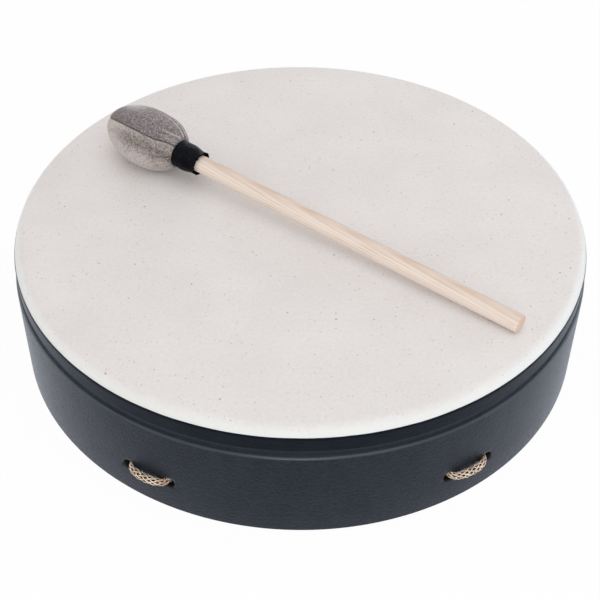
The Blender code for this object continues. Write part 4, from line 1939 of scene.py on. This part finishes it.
@dataclass
class Studio:
    """The camera at the photograph's place, soft light and a pale floor."""

    focal_pixels: float = 1231.515
    elevation: float = 0.74951
    roll: float = 0.008017
    aside: float = -0.0000585
    above: float = -0.010072
    distance: float = 0.941296
    nearest: float = 0.01
    farthest: float = 50.0
    floor_size: float = 8.0
    floor_drop: float = 0.0004
    floor_white: float = 0.97
    floor_grey: float = 0.85
    aim: tuple[float, float, float] = (0.0, 0.0, 0.06)
    lamps: tuple[Lamp, ...] = (
        Lamp("overhead", (0.1, 0.0, 1.4), (1.3, 1.3), 5.6),
        Lamp("high front", (0.25, -1.2, 1.3), (1.5, 1.5), 10.0),
        Lamp("low front", (0.0, -1.7, 0.2), (0.6, 0.5), 5.6, Tone.PLAIN),
        Lamp("high back", (0.2, 1.3, 0.85), (1.5, 1.5), 2.2),
        Lamp("low left", (-1.8, 0.5, 0.55), (1.3, 0.45), 5.8),
        Lamp("left strip", (-1.5, -0.25, 0.95), (1.1, 0.22), 2.0),
        Lamp("low right", (1.8, 0.5, 0.55), (1.3, 0.45), 7.0),
        Lamp("right strip", (1.5, -0.25, 0.95), (1.1, 0.22), 2.0),
    )
    surround: Colour = (0.40, 0.30, 0.19, 1.0)
    mirrored: Colour = (1.16, 1.21, 1.33, 1.0)

    def build_camera(self) -> None:
        """Place the camera that was fitted to the photograph."""
        rise = math.sin(self.elevation)
        level = math.cos(self.elevation)
        plain_right = Vector((1.0, 0.0, 0.0))
        plain_up = Vector((0.0, rise, level))
        forward = Vector((0.0, level, -rise))
        right = plain_right * math.cos(self.roll) + plain_up * math.sin(self.roll)
        up = plain_up * math.cos(self.roll) - plain_right * math.sin(self.roll)
        place = -(right * self.aside + up * self.above + forward * self.distance)
        data = bpy.data.cameras.new("photo camera")
        data.sensor_width = SENSOR_WIDTH
        data.lens = self.focal_pixels * SENSOR_WIDTH / IMAGE_SIZE
        data.clip_start = self.nearest
        data.clip_end = self.farthest
        camera = bpy.data.objects.new("photo camera", data)
        bpy.context.scene.collection.objects.link(camera)
        axes = Matrix((right, up, -forward)).transposed().to_4x4()
        camera.matrix_world = Matrix.Translation(place) @ axes
        bpy.context.scene.camera = camera

    def build_light(self) -> None:
        """A white surround that lights warmly, with soft lamps above, in front, behind and at the sides."""
        graph = WorldGraph("studio")
        light = graph.tint(graph.ray("Glossy"), self.surround, self.mirrored)
        graph.feed(color=graph.tint(graph.ray("Camera"), light, grey(1.0)), strength=1.0)
        for lamp in self.lamps:
            lamp.build(Vector(self.aim))

    def build_floor(self) -> None:
        """A white floor that keeps a faint shadow and bounces light."""
        graph = Graph("studio floor")
        graph.feed(base_color=grey(self.floor_grey), roughness=0.9, specular_ior_level=0.0)
        glossy = graph.ray("Glossy")
        seen = (graph.ray("Camera") + glossy + graph.ray("Transmission")).clamped() * self.floor_white
        colour = graph.tint(glossy, grey(1.0), self.mirrored)
        glow = graph.make("ShaderNodeEmission", {}, {"Color": colour, "Strength": 1.0})
        plain = Wire(graph, graph.shader.outputs[0])
        mixed = graph.make("ShaderNodeMixShader", {}, {0: seen, 1: plain, 2: glow})
        output = graph.tree.nodes["Material Output"]
        graph.tree.links.new(mixed.socket, output.inputs["Surface"])
        bm = bmesh.new()
        bmesh.ops.create_grid(bm, x_segments=8, y_segments=8, size=self.floor_size / 2)
        bmesh.ops.translate(bm, verts=bm.verts, vec=(0.0, 0.0, -self.floor_drop))
        floor = as_object("studio_floor", bm, [graph.material])

    def build(self) -> None:
        """Set up the whole studio."""
        self.build_camera()
        self.build_light()
        self.build_floor()
        bpy.context.scene.view_settings.view_transform = "Standard"


def dress_hidden(nodes: dict[str, bpy.types.Object]) -> None:
    """Give the CAD nodes that stay inside the object their own finishes.

    Args:
        nodes: The loaded CAD nodes by name.
    """
    finishes: dict[str, Callable[[], bpy.types.Material]] = {
        "head_hoop": RawFibre("hoop fibre").material,
        "mallet_core": PressedFelt().material,
    }
    for name, finish in finishes.items():
        nodes[name].data.materials.clear()
        nodes[name].data.materials.append(finish())
        LOG.info("%s keeps its solid", name)


def clear_scene() -> None:
    """Remove what the start-up file holds."""
    for item in list(bpy.data.objects):
        bpy.data.objects.remove(item)


def main() -> None:
    """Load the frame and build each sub-assembly."""
    logging.basicConfig(level=logging.INFO, format="%(name)s: %(message)s")
    clear_scene()
    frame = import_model()
    sizes = DrumSizes.from_frame()
    Studio().build()

    coat = CharcoalCoat(sizes.radius, sizes.shoulder_height)
    # Painted shade: the holes' walls are coloured near black.
    painted_hole_shade = RawFibre("scorched fibre", (0.004, 0.0025, 0.002, 1.0), (0.022, 0.011, 0.007, 1.0))
    FibreShell(sizes).build(coat.material(), RawFibre().material(), painted_hole_shade.material())
    head = FilmHead(sizes)
    head.build_film(FibrousFilm(head.bend_radius, head.edge_round).material())
    head.build_tape(CollarTape().material())
    RopeGrip(sizes).build(RopeYarn().material(), RopeHeart().material())

    mallet = PaddedMallet(sizes.head_height, sizes.radius)
    mallet.build_stick(AshWood(mallet.matrix).material())
    mallet.build_cover(GreySuede(mallet.matrix, mallet.length).material())
    mallet.build_tape(GlossTape().material())
    dress_hidden(frame["nodes"])


if __name__ == "__main__":
    main()
